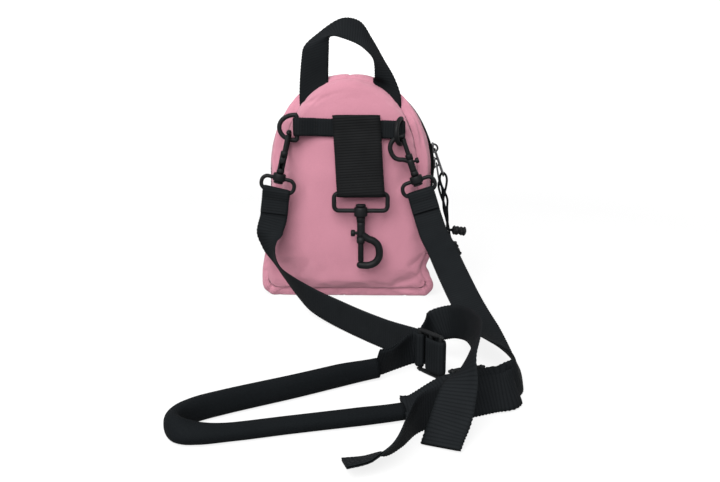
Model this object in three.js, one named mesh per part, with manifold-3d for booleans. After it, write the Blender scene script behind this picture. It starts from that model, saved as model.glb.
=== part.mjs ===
// Mini backpack standing on its base, with a removable strap lying on the floor behind it.
// Millimetres, +Z up, floor at z = 0, origin under the middle of the bag, back panel towards -Y.
import * as THREE from "three";
import { mergeVertices } from "three/addons/utils/BufferGeometryUtils.js";
import Module from "manifold-3d";

// Driving dimensions
const GAP = 0.35; // free space between two pieces
const FOLD_GAP = 0.7; // free space where webbing is folded round a bar
const CLOTH = 1.6; // wall of the side cloth
const PADDING = 3.0; // thickness of the back and front panels
const WEBBING = 1.2; // thickness of all webbing
const STRAP_WIDTH = 26.5;
const FLAP_WIDTH = 46.2;
const BAND_WIDTH = 17.2;
const SEAM_DEPTH = 36; // from the middle of the bag to its back and front seams
const ZIP_HALF = 5; // half width of the zip tape
const ZIP_END = 45; // height where the zip arch ends
const ARCH_FOOT = 125; // height where the straight sides turn into the arch
const ARCH_POWER = 0.943; // power on sine and cosine: below 1 the arch has square shoulders
const ZIP_LIFT = 2; // how far the zip stands out of the side cloth
const DOME = 7; // how far the middle of a panel stands out from its seam
const WAIST = { height: 30, reach: 15, depth: 8 }; // dent low on the right side
const LEFT_SPREAD = 3; // the left side stands out a little more at the base
const RING = { width: 17, height: 24.4, radius: 2.25 }; // D-ring, along the middle of its bar
// Hooks: loop's width, distance and thickness of its bars, scale of the body, radii of boss, barrel and crook
const CENTRE_HOOK = { span: 56.5, drop: 17, bar: 4.4, body: 1, boss: 6.6, barrel: 4.1, crook: 3.35 };
const STRAP_HOOK = { span: 36, drop: 13.1, bar: 3.8, body: 0.82, boss: 6.2, barrel: 3.5, crook: 2.1 };
const ADJUSTER = { inside: 28.4, rail: 3.5, bar: 1.8 };
const BARS = { tab: -11, middle: 1, lip: 12 }; // bars of an adjuster, along its length
const GRIP = { tall: 17, thick: 12 };

// Outline of the bag at a few depths: half width at the arch foot and at the base, top, bottom, corner
const SECTIONS = [
  { y: -36, arch: 69.5, base: 83.5, top: 222, bottom: 6.5, corner: 12 },
  { y: -30, arch: 76.5, base: 85.8, top: 222.8, bottom: 1, corner: 13 },
  { y: -16, arch: 80.5, base: 86, top: 221.5, bottom: 0, corner: 15 },
  { y: 0, arch: 82.5, base: 86, top: 218.5, bottom: 0, corner: 16 },
  { y: 16, arch: 81, base: 85, top: 213.5, bottom: 0, corner: 16 },
  { y: 30, arch: 76.5, base: 82.5, top: 206.5, bottom: 1, corner: 14 },
  { y: 36, arch: 70, base: 77.5, top: 202.5, bottom: 6, corner: 12 },
];
// Steps along half the outline: bottom, corner, side below the zip's end, side above it, arch
const STEPS = { bottom: 3, corner: 4, low: 3, side: 5, arch: 8 };

// Fittings: where each hook's strap bar is, which way its crook points and bulges, and the way of its bar
const CENTRE_PLACE = { bar: v(11.6, -59, 111), aim: v(0, 0, -1), bulge: v(1, 0, 0), across: v(1, 0, 0) };
const LEFT_PLACE = {
  bar: v(-70.5, -59.3, 113),
  aim: v(0.223, 0, 0.975),
  bulge: v(0, 1, 0),
  across: v(1, 0, 0),
};
const RIGHT_PLACE = {
  bar: v(69.9, -57.2, 111.3),
  aim: v(-0.32, 0, 0.947),
  bulge: v(-1, 0, 0),
  across: v(1, 0, 0),
};
// D-rings: middle of the sewn bar and the way the bow points
const LEFT_RING = { bar: v(-50.4, -51, 173.7), out: v(-1, 0, 0) };
const RIGHT_RING = { bar: v(50.6, -50, 170.4), out: v(-0.31, -0.951, 0) };
// Adjusters: middle, the way from the grip's tab bar to the lip and the way of the bars
const LEFT_ADJUSTER = { middle: v(69, -248, 18), along: v(0.62, -0.785, 0), up: v(0, 0, 1) };
const RIGHT_ADJUSTER = { middle: v(97, -300, 11.8), along: v(0.93, 0.3675, 0), up: v(-0.294, 0.744, 0.6) };

const PINK = new THREE.Color(0.78, 0.4, 0.5);
const BLACK = new THREE.Color(0.03, 0.03, 0.035);
const METAL = new THREE.Color(0.25, 0.25, 0.27);

const UP = v(0, 0, 1);
const wasm = await Module();
wasm.setup();

// Helpers for points and solids
function v(x, y, z) {
  return new THREE.Vector3(x, y, z);
}

function moved(point, ...pairs) {
  const out = point.clone();
  for (const [direction, amount] of pairs) out.addScaledVector(direction, amount);
  return out;
}

// Closed body from points and triangles, turned so that its faces point outwards.
function body(points, triangles) {
  let volume = 0;
  for (const [a, b, c] of triangles) {
    volume += points[a].dot(points[b].clone().cross(points[c]));
  }
  const turned = volume < 0 ? triangles.map(([a, b, c]) => [a, c, b]) : triangles;
  const geometry = new THREE.BufferGeometry().setFromPoints(points);
  geometry.setIndex(turned.flat());
  return geometry;
}

// Joins rings of equal point count into a skin. An open skin gets a strip cap at each end.
function loft(rings, closed = false) {
  const count = rings[0].length;
  const triangles = [];
  const last = closed ? rings.length : rings.length - 1;
  for (let r = 0; r < last; r++) {
    const here = r * count;
    const next = ((r + 1) % rings.length) * count;
    for (let i = 0; i < count; i++) {
      const j = (i + 1) % count;
      triangles.push([here + i, here + j, next + j], [here + i, next + j, next + i]);
    }
  }
  if (!closed) {
    const end = (rings.length - 1) * count;
    for (let i = 0; i < count / 2 - 1; i++) {
      const j = count - 1 - i;
      triangles.push([i, j, j - 1], [i, j - 1, i + 1]);
      triangles.push([end + i, end + j - 1, end + j], [end + i, end + i + 1, end + j - 1]);
    }
  }
  return body(rings.flat(), triangles);
}

function solidOf(geometry) {
  const plain = geometry.clone();
  plain.deleteAttribute("normal");
  plain.deleteAttribute("uv");
  const merged = mergeVertices(plain, 1e-4);
  return new wasm.Manifold(
    new wasm.Mesh({
      numProp: 3,
      vertProperties: new Float32Array(merged.attributes.position.array),
      triVerts: new Uint32Array(merged.index.array),
    }),
  );
}

function geometryOf(solid) {
  const mesh = solid.getMesh();
  const geometry = new THREE.BufferGeometry();
  geometry.setAttribute("position", new THREE.BufferAttribute(mesh.vertProperties, 3));
  geometry.setIndex(Array.from(mesh.triVerts));
  return geometry;
}

function joined(...geometries) {
  return geometryOf(geometries.map(solidOf).reduce((a, b) => a.add(b)));
}

function cut(geometry, ...tools) {
  return geometryOf(tools.map(solidOf).reduce((a, b) => a.subtract(b), solidOf(geometry)));
}

// Round bar between two points.
function rod(from, to, radius, sides = 12) {
  const along = to.clone().sub(from);
  const geometry = new THREE.CylinderGeometry(radius, radius, along.length(), sides);
  const turn = new THREE.Quaternion().setFromUnitVectors(v(0, 1, 0), along.clone().normalize());
  geometry.applyQuaternion(turn);
  const middle = from.clone().add(to).multiplyScalar(0.5);
  return geometry.translate(middle.x, middle.y, middle.z);
}

// Round bar along points that lie in one plane, whose normal is given.
function wire(points, radius, normal, closed, sides = 8) {
  const rings = points.map((point, i) => {
    const before = closed ? points.at(i - 1) : points[Math.max(i - 1, 0)];
    const after = closed ? points[(i + 1) % points.length] : points[Math.min(i + 1, points.length - 1)];
    const side = after.clone().sub(before).normalize().cross(normal).normalize();
    return Array.from({ length: sides }, (_, k) => {
      const turn = (2 * Math.PI * (k + 0.5)) / sides;
      return moved(point, [side, radius * Math.cos(turn)], [normal, radius * Math.sin(turn)]);
    });
  });
  return loft(rings, closed);
}

// Rounded tube along a free curve.
function tube(points, radius, steps, sides) {
  const circle = new THREE.Shape().absarc(0, 0, radius, 0, 2 * Math.PI);
  const extrudePath = new THREE.CatmullRomCurve3(points, false, "centripetal");
  const settings = { extrudePath, steps, curveSegments: sides, bevelEnabled: false };
  return new THREE.ExtrudeGeometry(circle, settings);
}

// Smooth run through rows of { p: place, w: width direction }, with a few steps from row to row.
function smoothRun(rows, steps) {
  const places = new THREE.CatmullRomCurve3(rows.map((row) => row.p), false, "centripetal");
  const widths = new THREE.CatmullRomCurve3(rows.map((row) => row.w), false, "centripetal");
  const count = (rows.length - 1) * steps;
  return Array.from({ length: count + 1 }, (_, i) => {
    const at = i / count;
    return { p: places.getPoint(at), w: widths.getPoint(at), t: places.getTangent(at) };
  });
}

// Webbing of one width along rows, the width kept square to the run.
function ribbon(rows, width, steps = 4) {
  const rings = smoothRun(rows, steps).map(({ p, w, t }) => {
    const across = moved(w, [t, -w.dot(t)]).setLength(width / 2);
    const face = t.clone().cross(across).setLength(WEBBING / 2);
    return [
      moved(p, [across, 1], [face, 1]),
      moved(p, [across, -1], [face, 1]),
      moved(p, [across, -1], [face, -1]),
      moved(p, [across, 1], [face, -1]),
    ];
  });
  return loft(rings);
}

// Shape of the bag
function mix(a, b, share) {
  return a + (b - a) * share;
}

// Outline sizes at a depth, run smoothly through the table.
function sectionAt(y, inset = 0) {
  const last = SECTIONS.length - 1;
  let k = 0;
  while (k < last - 1 && SECTIONS[k + 1].y < y) k++;
  const share = THREE.MathUtils.clamp((y - SECTIONS[k].y) / (SECTIONS[k + 1].y - SECTIONS[k].y), 0, 1);
  const out = {};
  for (const key of ["arch", "base", "top", "bottom", "corner"]) {
    const rows = [Math.max(k - 1, 0), k, k + 1, Math.min(k + 2, last)].map((i) => SECTIONS[i][key]);
    const bend = (rows[3] - rows[2] - rows[1] + rows[0]) / 4;
    out[key] = mix(rows[1], rows[2], share) - bend * share * (1 - share) * 0.5;
  }
  out.bottom = Math.max(out.bottom, 0);
  out.arch -= inset;
  out.base -= inset;
  out.top -= inset;
  out.bottom += inset;
  return out;
}

// Half width of the straight side at a height, with the dent on the right side only.
function sideAt(section, z, right) {
  const start = section.bottom + section.corner;
  const share = THREE.MathUtils.smoothstep((z - start) / (ARCH_FOOT - start), 0, 1);
  const dent = right ? WAIST.depth * Math.exp(-(((z - WAIST.height) / WAIST.reach) ** 2)) : 0;
  return mix(section.base + (right ? 0 : LEFT_SPREAD), section.arch, share) - dent;
}

// Half of the outline from the middle of the bottom to the top, as [half width, height].
function halfOutline(section, right) {
  const { bottom, corner, arch, top } = section;
  const base = section.base + (right ? 0 : LEFT_SPREAD);
  const points = [];
  for (let i = 0; i < STEPS.bottom; i++) {
    points.push([((base - corner) * i) / STEPS.bottom, bottom]);
  }
  for (let i = 0; i < STEPS.corner; i++) {
    const turn = (Math.PI / 2) * (i / STEPS.corner);
    points.push([base - corner + corner * Math.sin(turn), bottom + corner - corner * Math.cos(turn)]);
  }
  for (let i = 0; i < STEPS.low; i++) {
    points.push([0, mix(bottom + corner, ZIP_END, i / STEPS.low)]);
  }
  for (let i = 0; i < STEPS.side; i++) {
    points.push([0, mix(ZIP_END, ARCH_FOOT, i / STEPS.side)]);
  }
  for (let i = STEPS.bottom + STEPS.corner; i < points.length; i++) {
    points[i][0] = sideAt(section, points[i][1], right);
  }
  for (let i = 0; i <= STEPS.arch; i++) {
    const turn = (Math.PI / 2) * (i / STEPS.arch);
    const rise = (top - ARCH_FOOT) * Math.sin(turn) ** ARCH_POWER;
    points.push([arch * Math.max(Math.cos(turn), 0) ** ARCH_POWER, ARCH_FOOT + rise]);
  }
  return points;
}

const HALF = STEPS.bottom + STEPS.corner + STEPS.low + STEPS.side + STEPS.arch;
const SPLIT = STEPS.bottom + STEPS.corner + STEPS.low;

// Whole outline as a ring of points: up the right side, over the top and down the left.
function outline(section, y) {
  const right = halfOutline(section, true).map(([x, z]) => v(x, y, z));
  const left = halfOutline(section, false).map(([x, z]) => v(-x, y, z));
  return [...right, ...left.slice(1, HALF).reverse()];
}

// Strip of the side wall between two depths, over part of the outline.
function sideStrip(fromY, toY, first, last, depths, wall = CLOTH, lift = 0) {
  const levels = Array.from({ length: depths + 1 }, (_, i) => mix(fromY, toY, i / depths));
  const outer = levels.map((y) => outline(sectionAt(y, -lift), y));
  const inner = levels.map((y) => outline(sectionAt(y, wall), y));
  const count = outer[0].length;
  const rings = [];
  for (let i = first; i <= last; i++) {
    const at = (i + count) % count;
    rings.push([...outer.map((ring) => ring[at]), ...inner.map((ring) => ring[at]).reverse()]);
  }
  return rings;
}

// Moves the first and last rings of a strip along the outline to leave the gap to its neighbour.
function trimmed(rings) {
  const nudge = (ring, next) =>
    ring.map((point, i) => moved(point, [next[i].clone().sub(point).normalize(), GAP / 2]));
  rings[0] = nudge(rings[0], rings[1]);
  rings[rings.length - 1] = nudge(rings.at(-1), rings.at(-2));
  return loft(rings);
}

// Height of a panel's outer face over its seam: a low dome that ends at the outline.
function domeAt(section, x, z) {
  const wide = z > ARCH_FOOT ? section.arch : sideAt(section, z, false);
  const tall = z > ARCH_FOOT ? section.top - ARCH_FOOT : ARCH_FOOT - section.bottom;
  const rise = Math.abs(z - ARCH_FOOT) / tall;
  const away = (x / wide) ** 2 + (z > ARCH_FOOT ? rise ** 2 : rise ** 6);
  return DOME * Math.max(1 - away, 0) ** 0.7;
}

const PANEL_RINGS = [0.35, 0.68, 0.9, 1];

// Padded panel over the back (side -1) or the front (side 1) seam.
function panel(side) {
  const section = sectionAt(side * SEAM_DEPTH, 0.2);
  const rim = outline(section, 0);
  const middle = v(0, 0, (section.top + section.bottom) / 2);
  const ring = (share, base) =>
    rim.map((point) => {
      const at = middle.clone().lerp(point, share);
      return v(at.x, side * (SEAM_DEPTH + base + domeAt(section, at.x, at.z)), at.z);
    });
  const outer = PANEL_RINGS.map((share) => ring(share, GAP + PADDING));
  const inner = PANEL_RINGS.map((share) => ring(share, GAP)).reverse();
  return loft([...outer, ...inner]);
}

// Lump the size of the whole bag plus the gap, for trimming what is sewn to it.
function bagLump() {
  const rings = [];
  const ends = [-1, 1].map((side) => {
    const section = sectionAt(side * SEAM_DEPTH, -GAP);
    const rim = outline(section, 0);
    const middle = v(0, 0, (section.top + section.bottom) / 2);
    const depth = SEAM_DEPTH + PADDING + 2 * GAP;
    return PANEL_RINGS.map((share) =>
      rim.map((point) => {
        const at = middle.clone().lerp(point, share);
        return v(at.x, side * (depth + domeAt(section, at.x, at.z)), at.z);
      }),
    );
  });
  rings.push(...ends[0]);
  for (const { y } of SECTIONS) rings.push(outline(sectionAt(y, -GAP), y));
  rings.push(...ends[1].reverse());
  return loft(rings);
}

function backFace(x, z) {
  return -(SEAM_DEPTH + GAP + PADDING + domeAt(sectionAt(-SEAM_DEPTH), x, z));
}

// Grab handle: the two edges of its webbing, from its left foot over the top to its right foot
const HANDLE_EDGES = [
  { outer: v(-48, -35.5, 180), inner: v(-21, -35.5, 200) },
  { outer: v(-49, -36, 204), inner: v(-20.5, -36, 222) },
  { outer: v(-46, -40, 239), inner: v(-19.4, -40, 246.6) },
  { outer: v(-44, -40, 249), inner: v(-18.4, -43, 258) },
  { outer: v(-33, -29, 261), inner: v(-14.5, -49, 259.5) },
  { outer: v(-7, -28, 277), inner: v(-6, -46, 257.5) },
  { outer: v(10, -28, 274), inner: v(8, -45, 252) },
  { outer: v(22, -28, 257.5), inner: v(17.5, -50, 245) },
  { outer: v(34, -29, 237), inner: v(23, -51, 238) },
  { outer: v(43.5, -33, 221), inner: v(24.5, -49, 222) },
  { outer: v(50, -35.5, 203), inner: v(23, -37, 219) },
  { outer: v(50, -35.5, 180), inner: v(24, -35.5, 200) },
];

function grabHandle() {
  const edge = (key) => HANDLE_EDGES.map((row) => row[key]);
  const curve = (key) => new THREE.CatmullRomCurve3(edge(key), false, "centripetal");
  const outer = curve("outer");
  const inner = curve("inner");
  const count = (HANDLE_EDGES.length - 1) * 3;
  const rings = Array.from({ length: count + 1 }, (_, i) => {
    const a = outer.getPoint(i / count);
    const b = inner.getPoint(i / count);
    const along = outer.getTangent(i / count).add(inner.getTangent(i / count));
    const face = along.cross(b.clone().sub(a)).setLength(WEBBING / 2);
    return [moved(a, [face, 1]), moved(b, [face, 1]), moved(b, [face, -1]), moved(a, [face, -1])];
  });
  return cut(loft(rings), bagLump());
}

// Layers of the belt flap and the ring band in front of the back panel
const LAYER = {
  flapBack: backFace(5, 158) - GAP - WEBBING / 2,
  band: backFace(5, 158) - 2 * GAP - 1.5 * WEBBING,
  flapFront: backFace(5, 158) - 3 * GAP - 2.5 * WEBBING,
};
const BAND_HEIGHT = 172;
const BAND_SLOPE = -0.032; // the band drops a little towards the right

// Band across the back, folded round the bar of a D-ring at each end.
function ringBand() {
  const round = RING.radius + GAP + WEBBING / 2;
  const end = (ring, side) => {
    const { x, y } = ring.bar;
    const inside = (reach) => x - side * reach;
    return [
      [inside(18), backFace(inside(18), BAND_HEIGHT) - 2 * GAP - WEBBING / 2],
      [inside(9), y + round + 1.4],
      [inside(2), y + round],
      [x + side * round * 0.75, y + round * 0.68],
      [x + side * round, y],
      [x + side * round * 0.75, y - round * 0.68],
      [inside(2), y - round],
      [inside(9), y - round + 2.2],
      [inside(18), LAYER.band - 0.2],
    ];
  };
  const run = [
    ...end(LEFT_RING, -1),
    [-24, LAYER.band],
    [5, LAYER.band],
    [36, LAYER.band],
    ...end(RIGHT_RING, 1).reverse(),
  ];
  return ribbon(run.map(([x, y]) => ({ p: v(x, y, BAND_HEIGHT + BAND_SLOPE * x), w: UP })), BAND_WIDTH, 2);
}

// Wide flap: up behind the band, over it, down to the hook's bar, round the bar and up behind itself.
function beltFlap() {
  const top = BAND_HEIGHT + BAND_WIDTH / 2 + 2 * GAP;
  const turn = (LAYER.flapBack - LAYER.flapFront) / 2;
  const { y, z } = CENTRE_PLACE.bar;
  const round = CENTRE_HOOK.bar / 2 + FOLD_GAP + WEBBING / 2;
  const run = [
    [LAYER.flapBack, top - 26],
    [LAYER.flapBack, top - 12],
    [LAYER.flapBack, top],
    [LAYER.band, top + turn],
    [LAYER.flapFront, top],
    [LAYER.flapFront - 1, top - 14],
    [-53.5, 158],
    [-58.2, 130],
    [y - round + 0.7, z + 7],
    [y - round, z],
    [y - round * 0.7, z - round * 0.7],
    [y, z - round],
    [y + round * 0.7, z - round * 0.7],
    [y + round, z + 1],
    [y + 0.8, z + 7.5],
    [-56.6, 126],
  ];
  const slant = (height) => CENTRE_PLACE.bar.x - (height - z) * 0.064;
  return ribbon(run.map(([py, pz]) => ({ p: v(slant(pz), py, pz), w: v(1, 0, 0) })), FLAP_WIDTH, 2);
}

// D-ring round its straight bar, the bow standing out to one side.
function dRing({ bar, out }) {
  const normal = out.clone().cross(UP);
  const points = [];
  for (let i = 0; i <= 14; i++) {
    const turn = (Math.PI * (0.4 + (14 - 0.8) * (i / 14))) / 14;
    const reach = RING.width * Math.sin(turn) ** 0.85;
    points.push(moved(bar, [out, reach], [UP, (RING.height / 2) * Math.cos(turn)]));
  }
  for (const height of [-0.6, 0, 0.6]) points.push(moved(bar, [UP, height * RING.height * 0.6]));
  return wire(points, RING.radius, normal, true);
}

// Path of a hook's crook from the barrel round to the tip, in the hook's own frame below the swivel
const CROOK = [
  { out: 3.4, up: -25.5 },
  { out: 7.5, up: -28.2 },
  { out: 12.5, up: -30.2 },
  { out: 16.6, up: -34.2 },
  { out: 18.3, up: -40.5 },
  { out: 17.7, up: -47 },
  { out: 14, up: -52.2 },
  { out: 7.6, up: -54.9 },
  { out: 2.6, up: -54.9 },
  { out: -0.5, up: -54.6 },
];

// Snap hook in its own frame: strap bar at the origin, crook down, bulge to +X.
function snapHook({ span, drop, bar, body: k, boss, barrel, crook }) {
  const at = (x, z) => v(x * k, 0, z * k - drop);
  const level = (z) => at(0, z);
  const forward = v(0, 1, 0);
  const corner = bar * 0.9;
  const half = (span - bar) / 2;
  const frame = [];
  const centres = [
    [half - corner, -corner, 0],
    [-half + corner, -corner, 1],
    [-half + corner, -drop + corner, 2],
    [half - corner, -drop + corner, 3],
  ];
  for (const [x, z, quarter] of centres) {
    for (let i = 0; i <= 3; i++) {
      const turn = (Math.PI / 2) * (quarter + i / 3);
      frame.push(v(x + corner * Math.cos(turn), 0, z + corner * Math.sin(turn)));
    }
  }
  const collar = rod(level(-5.5), level(3.6), boss, 16);
  const pinHole = rod(level(-9), level(12), 3.3 * k);
  const loop = cut(joined(wire(frame, bar / 2, forward, true), collar), pinHole);

  const top = -5.5 - GAP / k;
  const shaft = rod(level(top), level(-32.5), barrel, 12);
  const pin = rod(level(top - 1), level(6), 2.9 * k);
  const head = rod(level(3.6 + GAP / k), level(6.3), boss * 0.75);
  const hoop = wire(CROOK.map((row) => at(row.out, row.up)), crook, forward, false);
  const bore = rod(level(-9), level(-36), barrel - 0.95);
  const slot = new THREE.BoxGeometry(7.4 * k, 4 * k, 14.6 * k).translate(-3.7 * k, 0, -18.7 * k - drop);
  const hook = cut(joined(shaft, pin, head, hoop), bore, slot);

  const tip = CROOK.at(-1);
  const boltEnd = moved(at(0, tip.up), [UP, crook + GAP]);
  const bolt = rod(level(-17.6), boltEnd, barrel - 1.3);
  const neck = rod(at(-1, -22.4), at(-6.4, -22.4), 1.6 * k, 10);
  const knob = rod(at(-5.6, -22.4), at(-9.8, -22.4), 3.3 * k, 10);
  return { loop, hook, gate: joined(bolt, neck, knob) };
}

// Places a hook piece: the given direction becomes its +X and the crook points along the aim.
function placed(geometry, { bar, aim }, sideways) {
  const z = aim.clone().normalize().negate();
  const x = moved(sideways, [z, -sideways.dot(z)]).normalize();
  const turn = new THREE.Matrix4().makeBasis(x, z.clone().cross(x), z).setPosition(bar);
  return geometry.clone().applyMatrix4(turn);
}

// Adjuster: two rails and three bars.
function adjuster({ middle, along, up }) {
  const half = ADJUSTER.inside / 2 + ADJUSTER.rail / 2;
  const rails = [-1, 1].map((side) => {
    const from = moved(middle, [along, BARS.tab - ADJUSTER.bar], [up, side * half]);
    const to = moved(middle, [along, BARS.lip + ADJUSTER.bar], [up, side * half]);
    return rod(from, to, ADJUSTER.rail / 2, 8);
  });
  const bars = Object.values(BARS).map((reach) => {
    const from = moved(middle, [along, reach], [up, -half]);
    const to = moved(middle, [along, reach], [up, half]);
    return rod(from, to, ADJUSTER.bar, 10);
  });
  return joined(...rails, ...bars);
}

// Turns rows of an adjuster's table into run rows. Off the face is towards +Y.
function throughAdjuster({ middle, along, up }, rows, across = up) {
  const off = up.clone().cross(along).normalize();
  return rows.map((row) => ({ p: moved(middle, [along, row.along], [off, row.off]), w: across }));
}

// Runs of webbing through an adjuster, along it and off its face: in, round the lip and back over itself
const THREADED = [
  { along: -18, off: 5.2 },
  { along: -11, off: 5.0 },
  { along: -7.2, off: 3.4 },
  { along: -4.3, off: 0.2 },
  { along: -1.5, off: -2.6 },
  { along: 1, off: -3.2 },
  { along: 12, off: -3.2 },
  { along: 14.5, off: -2.3 },
  { along: 15.3, off: 0 },
  { along: 14.5, off: 2.3 },
  { along: 12, off: 3.2 },
  { along: 3, off: 3.6 },
  { along: -3, off: 5.0 },
  { along: -8, off: 6.6 },
  { along: -12, off: 7.4 },
  { along: -18, off: 8.2 },
];
// Round the middle bar and out on the same side
const WRAP = [
  { along: 18, off: 3.3 },
  { along: 12, off: 3.1 },
  { along: 1, off: 3.1 },
  { along: -1.3, off: 2.3 },
  { along: -2.1, off: 0 },
  { along: -1.3, off: -2.3 },
  { along: 1, off: -3.1 },
  { along: 12, off: -3.1 },
  { along: 18, off: -3.3 },
];
// A grip tab round its bar
const TAB_LOOP = [
  { along: -17, off: 1.4 },
  { along: -12.6, off: 2.7 },
  { along: -9.4, off: 2.1 },
  { along: -8.25, off: 0 },
  { along: -9.4, off: -2.1 },
  { along: -12.6, off: -2.7 },
  { along: -17, off: -1.4 },
];

// Hem of a strap folded round a hook's bar: from the sewn end outside, over the bar, to the run inside.
function hemFold({ bar }, across, down) {
  const inward = across.clone().cross(down).normalize();
  const round = STRAP_HOOK.bar / 2 + FOLD_GAP + WEBBING / 2;
  const rows = [
    [26, -0.9],
    [9, -0.95],
    [4.5, -round + 0.9],
    [0, -round],
    [-round * 0.7, -round * 0.7],
    [-round, 0],
    [-round * 0.7, round * 0.7],
    [0, round],
    [4.5, round - 0.9],
    [9, 0.95],
    [26, 0.9],
  ];
  return rows.map(([reach, away]) => ({ p: moved(bar, [down, reach], [inward, away]), w: across }));
}

// Rows of a strap's free run: place and width direction
const LEFT_RUN = [
  { p: v(-77, -65, 74), w: v(1, -0.1, 0) },
  { p: v(-77, -68, 63), w: v(0.7, -0.7, 0.1) },
  { p: v(-72.5, -74, 51), w: v(0.35, -0.9, 0.15) },
  { p: v(-65, -82, 39.5), w: v(0.05, -0.85, 0.5) },
  { p: v(-51, -94, 28), w: v(-0.1, -0.5, 0.85) },
  { p: v(-33, -114, 20), w: v(0, -0.2, 1) },
  { p: v(-1, -148, 14.5), w: v(0, 0, 1) },
  { p: v(36, -194, 14), w: v(0, 0, 1) },
];
const LEFT_TAIL = [
  { p: v(67, -222, 22), w: v(0, 0, 1) },
  { p: v(75, -213, 28), w: v(0, 0.1, 1) },
  { p: v(86, -217, 33), w: v(0, 0.1, 1) },
  { p: v(95, -236, 38.5), w: v(0, 0, 1) },
  { p: v(98.8, -262, 43), w: v(0.1, 0, 1) },
  { p: v(98.8, -284, 46), w: v(0.25, 0, 0.97) },
  { p: v(95.8, -303, 46.5), w: v(0.38, 0, 0.93) },
  { p: v(91, -320, 44), w: v(0.48, 0, 0.88) },
  { p: v(85.5, -333, 38), w: v(0.62, 0.05, 0.78) },
  { p: v(80.5, -345, 26.5), w: v(0.87, 0, 0.47) },
  { p: v(76, -355.5, 15), w: v(0.97, -0.1, 0.15) },
  { p: v(71.5, -363.5, 7), w: v(0.9, -0.4, 0) },
  { p: v(68.5, -370, 2), w: v(0.85, -0.5, 0) },
];
const RIGHT_RUN = [
  { p: v(81.5, -82, 76), w: v(0.95, 0, 0.32) },
  { p: v(86.8, -98, 67.3), w: v(0.95, 0, 0.32) },
  { p: v(95.5, -132, 50.7), w: v(0.95, 0, 0.3) },
  { p: v(105.9, -168, 33), w: v(0.95, 0, 0.2) },
  { p: v(115, -200, 23.5), w: v(0.95, 0, 0) },
  { p: v(124, -231, 18.5), w: v(0.85, 0, -0.5) },
  { p: v(130.5, -252, 16), w: v(0.6, 0, -0.8) },
  { p: v(132.5, -267, 14), w: v(0.35, 0, -0.93) },
  { p: v(131, -279, 13.3), w: v(0.25, -0.15, -0.95) },
  { p: v(124, -287.5, 12.8), w: v(0.2, -0.5, -0.85) },
];
const RIGHT_TAIL = [
  { p: v(120, -295, 14), w: v(0.2, -0.5, -0.85) },
  { p: v(125.5, -299.5, 14.2), w: v(0.35, -0.2, -0.9) },
  { p: v(121, -306.5, 13.4), w: v(0.2, -0.4, -0.9) },
  { p: v(107, -311, 12.8), w: v(0.1, -0.5, -0.85) },
  { p: v(82, -324.5, 12.8), w: v(0, -0.4, -0.9) },
  { p: v(57, -346, 13.8), w: v(0, 0, -1) },
  { p: v(46, -371, 13.4), w: v(-0.1, 0.3, -0.9) },
  { p: v(36, -389, 10.6), w: v(-0.15, 0.8, -0.6) },
  { p: v(24, -395, 6.9), w: v(-0.1, 1, -0.35) },
  { p: v(10, -398, 4.4), w: v(-0.1, 1, -0.2) },
];

function strapLeft() {
  const hem = hemFold(LEFT_PLACE, v(0.975, 0, -0.223).normalize(), v(-0.12, -0.1, -0.99).normalize());
  const threaded = throughAdjuster(LEFT_ADJUSTER, THREADED);
  return ribbon([...hem, ...LEFT_RUN, ...threaded, ...LEFT_TAIL], STRAP_WIDTH, 2);
}

function strapRight() {
  const hem = hemFold(RIGHT_PLACE, v(0.947, 0, 0.32).normalize(), v(0.27, -0.4, -0.87).normalize());
  const wrapped = throughAdjuster(RIGHT_ADJUSTER, WRAP, RIGHT_ADJUSTER.up.clone().negate());
  return ribbon([...hem, ...RIGHT_RUN, ...wrapped, ...RIGHT_TAIL], STRAP_WIDTH, 2);
}

// Padded grip folded in half: middle line and which way its tall side points
const GRIP_RUN = [
  { p: v(27, -257, 9.6), w: v(0, 0.1, 1) },
  { p: v(2, -270, 8.9), w: v(0, 0.1, 1) },
  { p: v(-27, -288, 8.9), w: v(0, 0.15, 1) },
  { p: v(-53, -304.5, 8.9), w: v(0, 0.2, 1) },
  { p: v(-77, -321, 8.8), w: v(0, 0.2, 1) },
  { p: v(-92, -333, 8.8), w: v(0, 0.1, 1) },
  { p: v(-100, -344, 8.8), w: v(0, 0, 1) },
  { p: v(-101.5, -356, 8.8), w: v(0, 0, 1) },
  { p: v(-95.5, -364, 8.7), w: v(0, 0.4, 0.9) },
  { p: v(-84, -365.5, 7.6), w: v(0, 0.9, 0.4) },
  { p: v(-62, -361, 6.5), w: v(0, 1, 0.1) },
  { p: v(-26, -350.5, 6.3), w: v(0, 1, 0.1) },
  { p: v(12, -338, 6.7), w: v(0, 1, 0.15) },
  { p: v(45, -328, 8), w: v(0, 1, 0.4) },
];

function gripTube() {
  const sides = 12;
  const rings = smoothRun(GRIP_RUN, 2).map(({ p, w, t }) => {
    const tall = moved(w, [t, -w.dot(t)]).normalize();
    const thick = t.clone().cross(tall).normalize();
    return Array.from({ length: sides }, (_, k) => {
      const turn = (2 * Math.PI * (k + 0.5)) / sides;
      return moved(p, [tall, (GRIP.tall / 2) * Math.cos(turn)], [thick, (GRIP.thick / 2) * Math.sin(turn)]);
    });
  });
  return loft(rings);
}

// Webbing end of the grip, turned from the grip's lie to the adjuster's and folded round its tab bar.
function gripTab(place, end, away, lie) {
  const off = lie.clone().cross(away).normalize();
  const start = moved(end, [away, 1.6]);
  start.z = Math.max(start.z, (STRAP_WIDTH / 2) * lie.z + WEBBING);
  const leg = (side, reach) => ({ p: moved(start, [off, side * 0.95], [away, reach]), w: lie });
  const loop = throughAdjuster(place, TAB_LOOP);
  return ribbon([leg(1, 0), leg(1, 9), ...loop, leg(-1, 9), leg(-1, 0)], STRAP_WIDTH, 2);
}

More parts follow.
